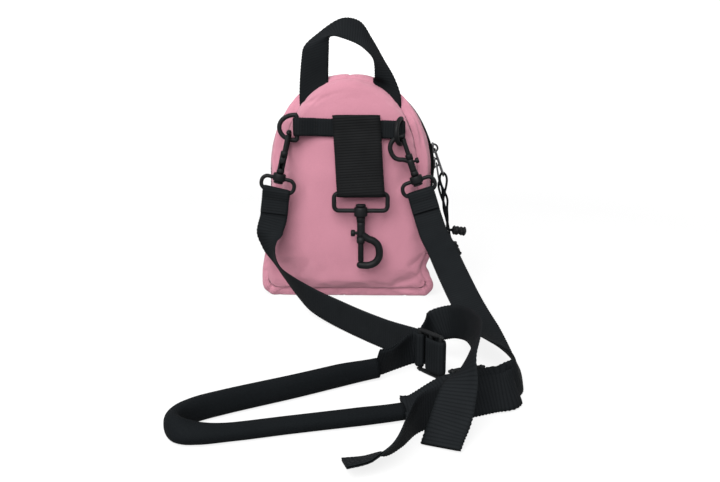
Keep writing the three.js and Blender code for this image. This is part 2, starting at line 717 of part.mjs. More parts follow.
// Zip sliders with their pulls: height on the right side, ends of the wire and the cord, tip of the grip
const PULLS = {
  upper: { height: 149, wireEnd: v(94, -15, 125), cordEnd: v(101, -16, 67), gripEnd: v(119.5, -17, 65) },
  lower: { height: 134, wireEnd: v(91.5, -4, 114), cordEnd: v(104.5, -6, 55), gripEnd: v(113, -7, 36) },
};
const CORD_RADIUS = 1.2;
const PULL_WIRE = { width: 5.7, radius: 0.8 };

// Half width of the right side at the zip, at a height.
function zipFace(z) {
  const section = sectionAt(0);
  if (z <= ARCH_FOOT) return sideAt(section, z, true);
  const rise = ((z - ARCH_FOOT) / (section.top - ARCH_FOOT)) ** (1 / ARCH_POWER);
  return section.arch * Math.sqrt(1 - rise * rise) ** ARCH_POWER;
}

const SLIDER = { thick: 2.6, wide: 8, tall: 12, bow: 4.2, wire: 1 };

function slider(height) {
  const face = zipFace(height) + ZIP_LIFT - 1.4;
  const plate = new THREE.BoxGeometry(SLIDER.thick, SLIDER.wide, SLIDER.tall)
    .translate(face + 3.2, 0, height);
  const post = [-1, 1].map((side) => v(face + SLIDER.bow, 0, height + side * SLIDER.bow));
  const bow = [];
  for (let i = 0; i <= 8; i++) {
    const turn = (Math.PI * i) / 8;
    bow.push(v(face + 4 + 4.4 * Math.sin(turn), 0, height - SLIDER.bow * Math.cos(turn)));
  }
  return joined(plate, wire([post[0], ...bow, post[1]], SLIDER.wire, v(0, 1, 0), false));
}

// Long closed loop of wire between two points, as wide as given.
function longLoop(from, to, width, radius) {
  const along = to.clone().sub(from).normalize();
  const normal = v(1, 0, 0).cross(along).cross(along).normalize();
  const side = along.clone().cross(normal);
  const points = [];
  for (const [centre, start] of [[to, 0], [from, Math.PI]]) {
    for (let i = 0; i <= 5; i++) {
      const turn = start + (Math.PI * i) / 5;
      const reach = [side, (width / 2) * Math.cos(turn)];
      points.push(moved(centre, reach, [along, (width / 2) * Math.sin(turn)]));
    }
  }
  return wire(points, radius, normal, true, 6);
}

function pull({ height, wireEnd, cordEnd, gripEnd }) {
  const bow = v(zipFace(height) + ZIP_LIFT + 4.3, 0, height - 2);
  const start = moved(bow, [v(0.3, 0, -1), 1]);
  const wireLoop = longLoop(start, wireEnd, PULL_WIRE.width, PULL_WIRE.radius);
  const along = cordEnd.clone().sub(wireEnd).normalize();
  const apart = v(0, 1, 0).cross(along).normalize();
  const strand = (side, share, spread) =>
    moved(wireEnd.clone().lerp(cordEnd, share), [apart, side * spread], [v(0, 1, 0), side * 0.4]);
  const toTip = gripEnd.clone().sub(cordEnd).normalize();
  const mouth = (side) => moved(cordEnd, [apart, side * 1.6]);
  const cord = tube(
    [
      mouth(-1),
      strand(-1, 0.75, 2.4),
      strand(-1, 0.4, 3.4),
      strand(-1, 0.12, 4),
      moved(wireEnd, [along, -0.8]),
      strand(1, 0.12, 4),
      strand(1, 0.4, 3.4),
      strand(1, 0.75, 2.4),
      mouth(1),
    ],
    CORD_RADIUS,
    20,
    3,
  );
  const from = moved(cordEnd, [toTip, CORD_RADIUS + 2.2]);
  const profile = [[0, 0]];
  const ridges = 3;
  const length = from.distanceTo(gripEnd);
  for (let i = 0; i <= 2 * ridges; i++) {
    profile.push([i % 2 ? 3.6 : 4.6, (length * (i + 0.2)) / (2 * ridges + 0.4)]);
  }
  profile.push([0, length]);
  const grip = new THREE.LatheGeometry(profile.map(([r, h]) => new THREE.Vector2(r, h)), 9);
  grip.applyQuaternion(new THREE.Quaternion().setFromUnitVectors(v(0, 1, 0), toTip));
  grip.translate(from.x, from.y, from.z);
  return { wireLoop, cord, grip };
}

const END_TAB = { height: 40, wide: 9.5, reach: 7.5 };

// Webbing folded double, standing out of the right side under the zip's lower end.
function zipEndTab() {
  const { reach, height, wide } = END_TAB;
  const face = zipFace(height + wide / 2) + 2 * GAP;
  const leg = [
    [0, 1.6],
    [reach - 3, 1.5],
    [reach - 0.8, 1.2],
  ];
  const run = [...leg.map(([out, y]) => [out, -y]), [reach, 0], ...leg.reverse()];
  return ribbon(run.map(([out, y]) => ({ p: v(face + out, y, height), w: UP })), wide, 2);
}

// Putting the pieces together
const group = new THREE.Group();

function add(name, geometry, colour, roughness = 0.8) {
  const plain = geometry.clone();
  plain.deleteAttribute("normal");
  plain.deleteAttribute("uv");
  const material = new THREE.MeshStandardMaterial({ color: colour, roughness });
  const mesh = new THREE.Mesh(mergeVertices(plain, 1e-4), material);
  mesh.geometry.computeVertexNormals();
  mesh.name = name;
  group.add(mesh);
}

const ROUND = 2 * HALF;
add("back_panel", panel(-1), PINK);
add("front_panel", panel(1), PINK);
add("rear_gusset", trimmed(sideStrip(-SEAM_DEPTH, -ZIP_HALF - GAP, SPLIT, ROUND - SPLIT, 4)), PINK);
add("main_zip", trimmed(sideStrip(-ZIP_HALF, ZIP_HALF, SPLIT, ROUND - SPLIT, 1, CLOTH, ZIP_LIFT)), BLACK);
add("front_gusset", trimmed(sideStrip(ZIP_HALF + GAP, SEAM_DEPTH, SPLIT, ROUND - SPLIT, 4)), PINK);
add("base_gusset", trimmed(sideStrip(-SEAM_DEPTH, SEAM_DEPTH, -SPLIT, SPLIT, 8)), PINK);
add("grab_handle", grabHandle(), BLACK);
add("ring_band", ringBand(), BLACK);
add("belt_flap", beltFlap(), BLACK);
add("d_ring_left", dRing(LEFT_RING), BLACK, 0.45);
add("d_ring_right", dRing(RIGHT_RING), BLACK, 0.45);
for (const [side, size, place] of [
  ["centre", CENTRE_HOOK, CENTRE_PLACE],
  ["left", STRAP_HOOK, LEFT_PLACE],
  ["right", STRAP_HOOK, RIGHT_PLACE],
]) {
  for (const [piece, geometry] of Object.entries(snapHook(size))) {
    const sideways = piece === "loop" ? place.across : place.bulge;
    add(side + "_" + piece, placed(geometry, place, sideways), BLACK, 0.45);
  }
}
add("strap_left", strapLeft(), BLACK);
add("strap_right", strapRight(), BLACK);
add("grip", gripTube(), BLACK);
const rightLie = v(-0.2, 0.95, 0.25);
add("grip_tab_left", gripTab(LEFT_ADJUSTER, GRIP_RUN[0].p, v(0.86, 0.5, 0), UP), BLACK);
add("grip_tab_right", gripTab(RIGHT_ADJUSTER, GRIP_RUN.at(-1).p, v(0.98, 0.2, 0), rightLie), BLACK);
add("adjuster_left", adjuster(LEFT_ADJUSTER), BLACK, 0.45);
add("adjuster_right", adjuster(RIGHT_ADJUSTER), BLACK, 0.45);
for (const [name, row] of Object.entries(PULLS)) {
  const { wireLoop, cord, grip } = pull(row);
  add("slider_" + name, slider(row.height), METAL, 0.4);
  add("pull_wire_" + name, wireLoop, METAL, 0.4);
  add("pull_cord_" + name, cord, BLACK);
  add("pull_grip_" + name, grip, BLACK, 0.6);
}
add("zip_end_tab", zipEndTab(), BLACK);

export default group;
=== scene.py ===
"""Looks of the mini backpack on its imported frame: cloth, webbing, moulded fittings and zip.

Sizes are in millimetres until a mesh is made. The floor is z = 0 and the back panel faces -Y.
"""

import bpy
import numpy as np
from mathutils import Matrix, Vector


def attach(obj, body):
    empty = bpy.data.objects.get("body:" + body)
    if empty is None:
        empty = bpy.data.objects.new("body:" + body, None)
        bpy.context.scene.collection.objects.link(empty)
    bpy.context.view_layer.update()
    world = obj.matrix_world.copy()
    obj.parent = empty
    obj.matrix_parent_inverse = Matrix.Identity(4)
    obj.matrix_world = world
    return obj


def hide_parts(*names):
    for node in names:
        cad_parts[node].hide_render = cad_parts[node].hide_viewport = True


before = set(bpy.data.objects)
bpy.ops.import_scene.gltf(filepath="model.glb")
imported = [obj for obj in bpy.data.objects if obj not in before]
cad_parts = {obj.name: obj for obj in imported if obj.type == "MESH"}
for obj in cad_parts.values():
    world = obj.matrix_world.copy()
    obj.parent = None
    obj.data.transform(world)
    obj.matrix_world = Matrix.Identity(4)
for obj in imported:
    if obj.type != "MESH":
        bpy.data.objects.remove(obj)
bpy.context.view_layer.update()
scene = bpy.context.scene
MM = 0.001

# Camera at the photo's place, tilted down and turned slightly to the left
CAMERA = {"place": (30, -827, 234), "tilt": 12.5, "turn": 1.43, "lens": 40, "sensor": 36}
camera_data = bpy.data.cameras.new("camera")
camera_data.lens = CAMERA["lens"]
camera_data.sensor_width = CAMERA["sensor"]
camera_data.clip_start = 0.01
camera = bpy.data.objects.new("camera", camera_data)
camera.location = np.array(CAMERA["place"]) * MM
camera.rotation_euler = (np.radians(90 - CAMERA["tilt"]), 0, np.radians(CAMERA["turn"]))
scene.collection.objects.link(camera)
scene.camera = camera

# Sizes, most of them shared with the solids
GAP = 0.35
FOLD_GAP = 0.7
CLOTH = 1.6
PADDING = 3.0
WEBBING = 1.2
STRAP_WIDTH = 26.5
FLAP_WIDTH = 46.2
BAND_WIDTH = 17.2
SEAM_DEPTH = 36
ZIP_HALF = 5
ZIP_END = 45
ARCH_FOOT = 125
ARCH_POWER = 0.943
ZIP_LIFT = 2
DOME = 7
WAIST = {"height": 30, "reach": 15, "depth": 8}
LEFT_SPREAD = 3
RING = {"width": 17, "height": 24.4, "radius": 2.25}
CENTRE_HOOK = {
    "span": 56.5, "drop": 17, "bar": 4.4, "body": 1, "boss": 6.6, "barrel": 4.1, "crook": 3.35, "corner": 4.6,
}
STRAP_HOOK = {
    "span": 36, "drop": 13.1, "bar": 3.8, "body": 0.82, "boss": 6.2, "barrel": 3.5, "crook": 2.1,
    "corner": 5.9,
}
ADJUSTER = {"inside": 28.4, "rail": 3.5, "bar": 1.8}
RIB = 2.6
WEB_EDGE = {"soft": 0.3, "swell": 0.22, "rise": 0.06}
WEB_SPACING = 0.6
BARS = {"tab": -11, "middle": 1, "lip": 12}
GRIP = {
    "tall": 17, "thick": 12, "around": 46, "square": 0.85, "press": 0.16, "taper": 0.1,
    "near_bow": 3.6, "far_bow": 2.4, "into_tab": 2.2,
}
GRIP_TAB = {"start": 1.6, "straight": 9, "apart": 0.95}
STITCH = {"length": 2.3, "gap": 1.0, "radius": 0.3, "sink": 0.25}
UP = np.array((0.0, 0, 1))
RIGHT = np.array((1.0, 0, 0))
FRONT = np.array((0.0, 1, 0))

# Outline of the bag: depth, half width at the arch foot and at the base, top, bottom, corner
SECTIONS = np.array([
    (-36, 69.5, 83.5, 222, 6.5, 12),
    (-30, 76.5, 85.8, 222.8, 1, 13),
    (-16, 80.5, 86, 221.5, 0, 15),
    (0, 82.5, 86, 218.5, 0, 16),
    (16, 81, 85, 213.5, 0, 16),
    (30, 76.5, 82.5, 206.5, 1, 14),
    (36, 70, 77.5, 202.5, 6, 12),
], dtype=float)


# Small helpers
def unit(vectors):
    """Vectors divided by their lengths."""
    vectors = np.asarray(vectors, dtype=float)
    return vectors / np.maximum(np.linalg.norm(vectors, axis=-1, keepdims=True), 1e-9)


def smooth_step(share):
    """0 to 1 along an S curve."""
    share = np.clip(share, 0, 1)
    return share * share * (3 - 2 * share)


def bump_at(x, middle, reach):
    """Bell curve of height 1 about a middle."""
    return np.exp(-(((x - middle) / reach) ** 2))


def lengths_along(points):
    """Distance along a run of points, starting at 0."""
    steps = np.linalg.norm(np.diff(points, axis=0), axis=1)
    return np.concatenate([[0], np.cumsum(steps)])


def read_off(values, far, at):
    """Values along a run whose distances are far, read off at other distances."""
    return np.stack([np.interp(at, far, values[:, k]) for k in range(values.shape[1])], axis=1)


def evenly(points, count):
    """The same run with a given count of points at even distances."""
    far = lengths_along(points)
    return read_off(points, far, np.linspace(0, far[-1], count))


def circle(count):
    """Angles evenly round a circle."""
    return np.linspace(0, 2 * np.pi, count, endpoint=False)


def spokes(side, up, turn):
    """Directions at angles round an axis, between a side and an up direction."""
    return side[..., None, :] * np.cos(turn)[:, None] + up[..., None, :] * np.sin(turn)[:, None]


def catmull(rows, at):
    """Centripetal Catmull-Rom curve through rows, at places counted in rows from 0."""
    rows = np.vstack([2 * rows[0] - rows[1], rows, 2 * rows[-1] - rows[-2]])
    first = np.clip(at.astype(int), 0, len(rows) - 4)
    f = (at - first)[:, None]
    p = [rows[first + k] for k in range(4)]
    d = [np.maximum(np.sum((p[k + 1] - p[k]) ** 2, axis=1), 1e-8)[:, None] ** 0.25 for k in range(3)]
    start = ((p[1] - p[0]) / d[0] - (p[2] - p[0]) / (d[0] + d[1]) + (p[2] - p[1]) / d[1]) * d[1]
    end = ((p[2] - p[1]) / d[1] - (p[3] - p[1]) / (d[1] + d[2]) + (p[3] - p[2]) / d[2]) * d[1]
    square = -3 * p[1] + 3 * p[2] - 2 * start - end
    cube = 2 * p[1] - 2 * p[2] + start + end
    return p[1] + f * start + f ** 2 * square + f ** 3 * cube


def smooth_path(rows, spacing):
    """Curve through rows of places, as points at an even spacing."""
    rows = np.asarray(rows, dtype=float)
    fine = catmull(rows, np.linspace(0, len(rows) - 1, 40 * len(rows)))
    return evenly(fine, max(int(lengths_along(fine)[-1] / spacing), 4))


# Shells: a dict of points, faces of three or four corners, and a uv pair per corner in millimetres
def grid_shell(points, wrap_rows=False, wrap_columns=False, uv=None):
    """Quads between neighbours of a grid of points. uv is (along rows, along columns), one past the wrap."""
    rows, columns = points.shape[:2]
    i, j = np.meshgrid(
        np.arange(rows if wrap_rows else rows - 1),
        np.arange(columns if wrap_columns else columns - 1),
        indexing="ij",
    )
    corner_i = np.stack([i, i + 1, i + 1, i], axis=-1).reshape(-1, 4)
    corner_j = np.stack([j, j, j + 1, j + 1], axis=-1).reshape(-1, 4)
    faces = (corner_i % rows) * columns + corner_j % columns
    if uv is None:
        uv = (np.arange(rows + 1.0), np.arange(columns + 1.0))
    pairs = np.stack([uv[0][corner_i], uv[1][corner_j]], axis=-1)
    return {"points": points.reshape(-1, 3), "faces": [faces], "uv": [pairs]}


def capped(shell, rows, columns):
    """Closes both ends of a rolled grid with strips of quads across the end rings."""
    i = np.arange(columns // 2 - 1)
    j = columns - 1 - i
    first = np.stack([i, i + 1, j - 1, j], axis=1)
    last = (rows - 1) * columns + np.stack([j, j - 1, i + 1, i], axis=1)
    faces = np.vstack([first, last])
    shell["faces"].append(faces)
    shell["uv"].append(np.zeros(faces.shape + (2,)))
    return shell


def outward(shell):
    """Turns a closed shell so that its faces point outwards, by the sign of its volume."""
    points = shell["points"]
    volume = 0.0
    for faces in shell["faces"]:
        a = points[faces[:, 0]]
        for k in range(1, faces.shape[1] - 1):
            b, c = points[faces[:, k]], points[faces[:, k + 1]]
            volume += np.einsum("ij,ij->", a, np.cross(b, c))
    return turned_over(shell) if volume < 0 else shell


def turned_over(shell):
    """The same shell with its faces pointing the other way."""
    faces = [f[:, ::-1] for f in shell["faces"]]
    return {**shell, "faces": faces, "uv": [uv[:, ::-1] for uv in shell["uv"]]}


def facing_away(shell, middle):
    """Turns an open shell so that its faces look away from a middle point."""
    points, faces = shell["points"], shell["faces"][0]
    a, b, c = (points[faces[:, k]] for k in range(3))
    looks_away = np.sum(np.cross(b - a, c - a) * (a - middle)) > 0
    return shell if looks_away else turned_over(shell)


def grid_normals(points, middle):
    """Unit normals of a grid of points, on the side away from a middle point."""
    normal = unit(np.cross(np.gradient(points, axis=0), np.gradient(points, axis=1)))
    return normal * np.sign(np.sum(normal * (points - middle)))


def repeated(grid, rings, sides):
    """One small closed shape for each entry of a grid of points (count, rings, sides, 3)."""
    first = capped(grid_shell(grid[0], wrap_columns=True), rings, sides)
    shift = (np.arange(len(grid)) * rings * sides)[:, None, None]
    faces = [(f[None] + shift).reshape(-1, 4) for f in first["faces"]]
    uv = [np.tile(u, (len(grid), 1, 1)) for u in first["uv"]]
    return outward({"points": grid.reshape(-1, 3), "faces": faces, "uv": uv})


def merged(shells):
    """Several shells as one."""
    out = {"points": np.vstack([s["points"] for s in shells]), "faces": [], "uv": []}
    start = 0
    for s in shells:
        out["faces"] += [faces + start for faces in s["faces"]]
        out["uv"] += s["uv"]
        start += len(s["points"])
    return out


def mesh_object(name, shell, finish=None):
    """Smooth-shaded object made from a shell, in metres, with its uv map."""
    mesh = bpy.data.meshes.new(name)
    counts = np.concatenate([np.full(len(f), f.shape[1]) for f in shell["faces"]])
    corners = np.concatenate([f.ravel() for f in shell["faces"]])
    mesh.vertices.add(len(shell["points"]))
    mesh.vertices.foreach_set("co", (shell["points"] * MM).astype(np.float32).ravel())
    mesh.loops.add(len(corners))
    mesh.loops.foreach_set("vertex_index", corners.astype(np.int32))
    mesh.polygons.add(len(counts))
    starts = np.concatenate([[0], np.cumsum(counts)[:-1]])
    mesh.polygons.foreach_set("loop_start", starts.astype(np.int32))
    mesh.update(calc_edges=True)
    layer = mesh.uv_layers.new(name="cloth_lie")
    pairs = np.concatenate([uv.reshape(-1, 2) for uv in shell["uv"]])
    layer.data.foreach_set("uv", pairs.astype(np.float32).ravel())
    mesh.polygons.foreach_set("use_smooth", np.ones(len(counts), dtype=bool))
    obj = bpy.data.objects.new(name, mesh)
    scene.collection.objects.link(obj)
    if finish is not None:
        mesh.materials.append(finish)
    return obj


def piece(name, shell, finish, body="bag", added=False):
    """A piece of the object: rides on a body. It stands for the CAD node of its name, unless it is added to
    what the CAD has.
    """
    obj = mesh_object(name if added else name + "_dressed", shell, finish)
    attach(obj, body)
    if not added:
        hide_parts(name)
    return obj


def with_wall(obj, thickness):
    """Gives an open sheet a wall on its inner side."""
    wall = obj.modifiers.new("wall", "SOLIDIFY")
    wall.thickness = thickness * MM
    wall.offset = -1
    wall.use_rim = True
    return obj


# Round shapes
def path_frames(path, closed=False):
    """Tangent, side and normal along a path: the side is carried along without twisting."""
    if closed:
        tangent = unit(np.roll(path, -1, axis=0) - np.roll(path, 1, axis=0))
    else:
        tangent = unit(np.gradient(path, axis=0))
    start = RIGHT if abs(tangent[0] @ RIGHT) < 0.8 else UP
    side = np.empty_like(path)
    side[0] = unit(start - tangent[0] * (start @ tangent[0]))
    for k in range(1, len(path)):
        side[k] = unit(side[k - 1] - tangent[k] * (side[k - 1] @ tangent[k]))
    return tangent, side, np.cross(tangent, side)


def tube(path, radius, normal=None, closed=False, sides=16):
    """Circle carried along a path, its ends rounded off. A flat path gives the normal of its plane."""
    path = np.asarray(path, dtype=float)
    tangent, side, up = path_frames(path, closed)
    if normal is not None:
        side = unit(np.cross(tangent, normal))
        up = np.cross(tangent, side)
    radius = np.broadcast_to(np.asarray(radius, dtype=float), len(path)).copy()
    if not closed:
        turn = np.linspace(np.pi / 2 - 0.05, 0, 6)[:-1]
        front = path[0] - tangent[0] * radius[0] * np.sin(turn)[:, None]
        back = path[-1] + tangent[-1] * radius[-1] * np.sin(turn[::-1])[:, None]
        path = np.vstack([front, path, back])
        side = np.vstack([np.tile(side[0], (5, 1)), side, np.tile(side[-1], (5, 1))])
        up = np.vstack([np.tile(up[0], (5, 1)), up, np.tile(up[-1], (5, 1))])
        radius = np.concatenate([radius[0] * np.cos(turn), radius, radius[-1] * np.cos(turn[::-1])])
    grid = path[:, None] + spokes(side, up, circle(sides)) * radius[:, None, None]
    around = np.linspace(0, 2 * np.pi * radius.mean(), sides + 1)
    along = np.append(lengths_along(path), lengths_along(path)[-1] + 1)
    shell = grid_shell(grid, wrap_rows=closed, wrap_columns=True, uv=(along, around))
    if not closed:
        shell = capped(shell, len(path), sides)
    return outward(shell)


def turned(profile, start, direction, ring=False):
    """Profile of (radius, height) rows spun about a line from start along a direction. The profile of a
    ring is a closed loop.
    """
    sides = 28
    profile = np.array(profile, dtype=float)
    profile[:, 0] = np.maximum(profile[:, 0], 0.02)
    direction = unit(direction)
    across = RIGHT if abs(direction @ RIGHT) < 0.8 else UP
    side = unit(np.cross(direction, across))
    spoke = spokes(side, np.cross(direction, side), circle(sides))
    grid = start + profile[:, 1, None, None] * direction + profile[:, 0, None, None] * spoke
    height = np.append(lengths_along(profile), 0)
    around = np.linspace(0, 2 * np.pi * profile[:, 0].max(), sides + 1)
    shell = grid_shell(grid, wrap_rows=ring, wrap_columns=True, uv=(height, around))
    return outward(shell if ring else capped(shell, len(profile), sides))


def drum(radius, start, end, edge):
    """Turned cylinder between two points with rounded edges."""
    start, end = np.asarray(start, dtype=float), np.asarray(end, dtype=float)
    tall = np.linalg.norm(end - start)
    turn = np.linspace(0, np.pi / 2, 5)
    low = np.stack([radius - edge + edge * np.sin(turn), edge - edge * np.cos(turn)], axis=1)
    high = np.stack([low[::-1, 0], tall - low[::-1, 1]], axis=1)
    profile = np.vstack([[0, 0], low, high, [0, tall]])
    return turned(profile, start, end - start)


def moved_by(shell, matrix, place):
    """A shell turned by a matrix whose columns are its new axes, then moved."""
    return {**shell, "points": shell["points"] @ matrix.T + place}


# Webbing
def webbing_run(rows, spacing):
    """Smooth run through rows of (place, width direction): places, across, face and distance along."""
    places = np.array([row[0] for row in rows], dtype=float)
    widths = np.array([row[1] for row in rows], dtype=float)
    fine_at = np.linspace(0, len(rows) - 1, 30 * len(rows))
    far = lengths_along(catmull(places, fine_at))
    count = int(far[-1] / spacing) + 1
    at = np.interp(np.linspace(0, far[-1], count), far, fine_at)
    middle = catmull(places, at)
    tangent = unit(np.gradient(middle, axis=0))
    width = catmull(widths, at)
    across = unit(width - tangent * np.sum(width * tangent, axis=1, keepdims=True))
    return middle, across, np.cross(tangent, across), np.linspace(0, far[-1], count)


def webbing_shell(middle, across, face, far, width, lift=0.0):
    """Flat section with soft edges carried along a run. The edges swell a little at every rib."""
    share = np.linspace(1, -1, 11)
    sheet = np.ones(11)
    sheet[[0, -1]] = WEB_EDGE["soft"]
    share = np.concatenate([share, share[::-1]])
    sheet = np.concatenate([sheet, -sheet[::-1]])
    rib = np.cos(2 * np.pi * far / RIB)[:, None]
    half = np.asarray(width / 2.0) * np.ones((len(far), 1))
    reach = half * share + WEB_EDGE["swell"] * rib * np.where(np.abs(share) > 0.99, np.sign(share), 0)
    off = WEBBING / 2 * sheet * (1 + WEB_EDGE["rise"] * rib) + lift
    grid = middle[:, None] + across[:, None] * reach[..., None] + face[:, None] * off[..., None]
    columns = len(share)
    around = np.append(np.where(sheet > 0, share, -2 - share) * width / 2, -3 * width / 2)
    shell = grid_shell(grid, wrap_columns=True, uv=(np.append(far, far[-1]), around))
    return outward(capped(shell, len(far), columns))


def webbing(rows, width, spacing=WEB_SPACING):
    """Webbing of one width along rows, and its length."""
    middle, across, face, far = webbing_run(rows, spacing)
    return webbing_shell(middle, across, face, far, width), far[-1]


def stitches(path, face):
    """Row of sewn stitches on a path: each is a short thread that rises out of the cloth and dips back."""
    far = lengths_along(path)
    count = max(int(far[-1] / (STITCH["length"] + STITCH["gap"])), 1)
    starts = (np.arange(count) + 0.5) * far[-1] / count
    place = read_off(path, far, starts)
    along = unit(read_off(path, far, starts + 0.4) - read_off(path, far, starts - 0.4))
    face = unit(read_off(np.broadcast_to(face, path.shape), far, starts))
    side = np.cross(along, face)
    reach = np.linspace(-0.5, 0.5, 6)
    rise = STITCH["radius"] * (1 - (2 * reach) ** 4) - STITCH["sink"]
    thick = STITCH["radius"] * np.sqrt(np.maximum(1 - (2 * reach) ** 6, 0.05))
    turn = circle(6)
    line = reach[:, None] * STITCH["length"] + 0 * turn
    out = rise[:, None] + thick[:, None] * np.sin(turn)
    wide = thick[:, None] * np.cos(turn)
    grid = (
        place[:, None, None]
        + along[:, None, None] * line[..., None]
        + face[:, None, None] * out[..., None]
        + side[:, None, None] * wide[..., None]
    )
    return repeated(grid, 6, 6)


# Finishes
def wire_up(tree, socket, value):
    """Links another socket to an input, or sets the input to a plain value."""
    if isinstance(value, bpy.types.NodeSocket):
        tree.links.new(value, socket)
    else:
        socket.default_value = value


def calc(tree, operation, *values):
    """Output of a math node."""
    node = tree.nodes.new("ShaderNodeMath")
    node.operation = operation
    for socket, value in zip(node.inputs, values):
        wire_up(tree, socket, value)
    return node.outputs[0]


def blend_colour(tree, share, low, high):
    """Colour between two by a share."""
    node = tree.nodes.new("ShaderNodeMix")
    node.data_type = "RGBA"
    wire_up(tree, node.inputs[0], share)
    wire_up(tree, node.inputs[6], low)
    wire_up(tree, node.inputs[7], high)
    return node.outputs[2]


def place_on(tree):
    """Place on the piece, in metres."""
    return tree.nodes.new("ShaderNodeTexCoord").outputs["Object"]


def noise(tree, scale, detail, roughness=0.5):
    """Noise over the piece's own place, as a share from 0 to 1. The scale is in waves per metre."""
    place = place_on(tree)
    node = tree.nodes.new("ShaderNodeTexNoise")
    tree.links.new(place, node.inputs["Vector"])
    node.inputs["Scale"].default_value = scale
    node.inputs["Detail"].default_value = detail
    node.inputs["Roughness"].default_value = roughness
    return node.outputs["Fac"]


def cloth_lie(tree):
    """The two directions of the cloth, in millimetres along it."""
    source = tree.nodes.new("ShaderNodeUVMap")
    source.uv_map = "cloth_lie"
    parts = tree.nodes.new("ShaderNodeSeparateXYZ")
    tree.links.new(source.outputs["UV"], parts.inputs[0])
    return parts.outputs["X"], parts.outputs["Y"]


def waves(tree, along, pitch):
    """Sine along a direction, one half wave to the pitch."""
    return calc(tree, "SINE", calc(tree, "MULTIPLY", along, np.pi / pitch))


def relief(tree, shader, height, distance):
    """Bump from a height of 0 to 1, with the distance it stands for in metres."""
    node = tree.nodes.new("ShaderNodeBump")
    node.inputs["Strength"].default_value = 1.0
    node.inputs["Distance"].default_value = distance
    tree.links.new(height, node.inputs["Height"])
    tree.links.new(node.outputs["Normal"], shader.inputs["Normal"])


def new_finish(name, roughness, **plain):
    """Material with a principled shader. plain sets the shader's own sockets by name."""
    finish = bpy.data.materials.new(name)
    finish.use_nodes = True
    tree = finish.node_tree
    shader = tree.nodes["Principled BSDF"]
    shader.inputs["Roughness"].default_value = roughness
    for key, value in plain.items():
        shader.inputs[key.replace("_", " ")].default_value = value
    return finish, tree, shader


def plain_weave(tree, pitch):
    """Height of a plain weave: over and under threads change places like a chequer."""
    u, v = cloth_lie(tree)
    warp, weft = waves(tree, u, pitch), waves(tree, v, pitch)
    over = calc(tree, "GREATER_THAN", calc(tree, "MULTIPLY", warp, weft), 0.0)
    warp_top = calc(tree, "MULTIPLY", calc(tree, "ABSOLUTE", warp), over)
    under = calc(tree, "SUBTRACT", 1.0, over)
    weft_top = calc(tree, "MULTIPLY", calc(tree, "ABSOLUTE", weft), under)
    return calc(tree, "ADD", warp_top, weft_top)


def cloth_finish(name, dark, light, pitch, roughness, distance, **plain):
    """Woven cloth: painted shade between the threads and painted highlight on their tops, with slow changes
    of tone.
    """
    finish, tree, shader = new_finish(name, roughness, **plain)
    weave = plain_weave(tree, pitch)
    tone = calc(tree, "MULTIPLY", noise(tree, 28, 3), 0.35)
    speck = calc(tree, "MULTIPLY", noise(tree, 900, 2), 0.35)
    # The weave's height darkens the gaps between threads (painted shade) and lightens their tops (painted
    # highlight); tone and speck are the cloth's own uneven colour.
    share = calc(tree, "ADD", calc(tree, "ADD", calc(tree, "MULTIPLY", weave, 0.45), tone), speck)
    colour = blend_colour(tree, calc(tree, "MINIMUM", share, 1.0), dark, light)
    tree.links.new(colour, shader.inputs["Base Color"])
    relief(tree, shader, weave, distance)
    return finish


def webbing_finish(name, dark, light, pitch, distance):
    """Ribbed webbing: round ribs across the run, split by fine threads along it, with painted highlight on
    the rib tops and painted shade in the grooves.
    """
    finish, tree, shader = new_finish(name, 0.75, Specular_IOR_Level=0.02)
    u, v = cloth_lie(tree)
    rib = calc(tree, "POWER", calc(tree, "ABSOLUTE", waves(tree, u, pitch)), 0.6)
    row = calc(tree, "FLOOR", calc(tree, "DIVIDE", u, pitch))
    shifted = calc(tree, "ADD", v, calc(tree, "MULTIPLY", row, 0.45))
    thread = calc(tree, "ABSOLUTE", waves(tree, shifted, 0.9))
    height = calc(tree, "MULTIPLY", rib, calc(tree, "ADD", calc(tree, "MULTIPLY", thread, 0.3), 0.7))
    # Colour follows the rib height: painted highlight on the rib tops and painted shade in the grooves,
    # broken up by noise.
    share = calc(tree, "MULTIPLY", height, calc(tree, "ADD", noise(tree, 60, 3), 0.35))
    colour = blend_colour(tree, calc(tree, "MINIMUM", share, 1.0), dark, light)
    tree.links.new(colour, shader.inputs["Base Color"])
    relief(tree, shader, height, distance)
    return finish


def moulded_finish(name, dark, light, roughness):
    """Moulded plastic: a faint orange-peel skin and slightly paler worn patches."""
    finish, tree, shader = new_finish(name, roughness, Specular_IOR_Level=0.06)
    wear = calc(tree, "POWER", noise(tree, 140, 4, 0.6), 2.0)
    tree.links.new(blend_colour(tree, wear, dark, light), shader.inputs["Base Color"])
    gloss = calc(tree, "ADD", calc(tree, "MULTIPLY", noise(tree, 400, 3), 0.18), roughness - 0.09)
    tree.links.new(gloss, shader.inputs["Roughness"])
    relief(tree, shader, noise(tree, 1400, 2), 0.00006)
    return finish


def metal_finish(name, dark, light):
    """Nickel plate with faint scuffs."""
    finish, tree, shader = new_finish(name, 0.3, Metallic=1.0)
    tree.links.new(blend_colour(tree, noise(tree, 300, 4), dark, light), shader.inputs["Base Color"])
    scuff = calc(tree, "ADD", calc(tree, "MULTIPLY", noise(tree, 700, 3), 0.25), 0.18)
    tree.links.new(scuff, shader.inputs["Roughness"])
    return finish


FLOOR_GLOW = {"near": 0.82, "far": 1.0, "from_m": 0.6, "gain_per_m": 0.13}


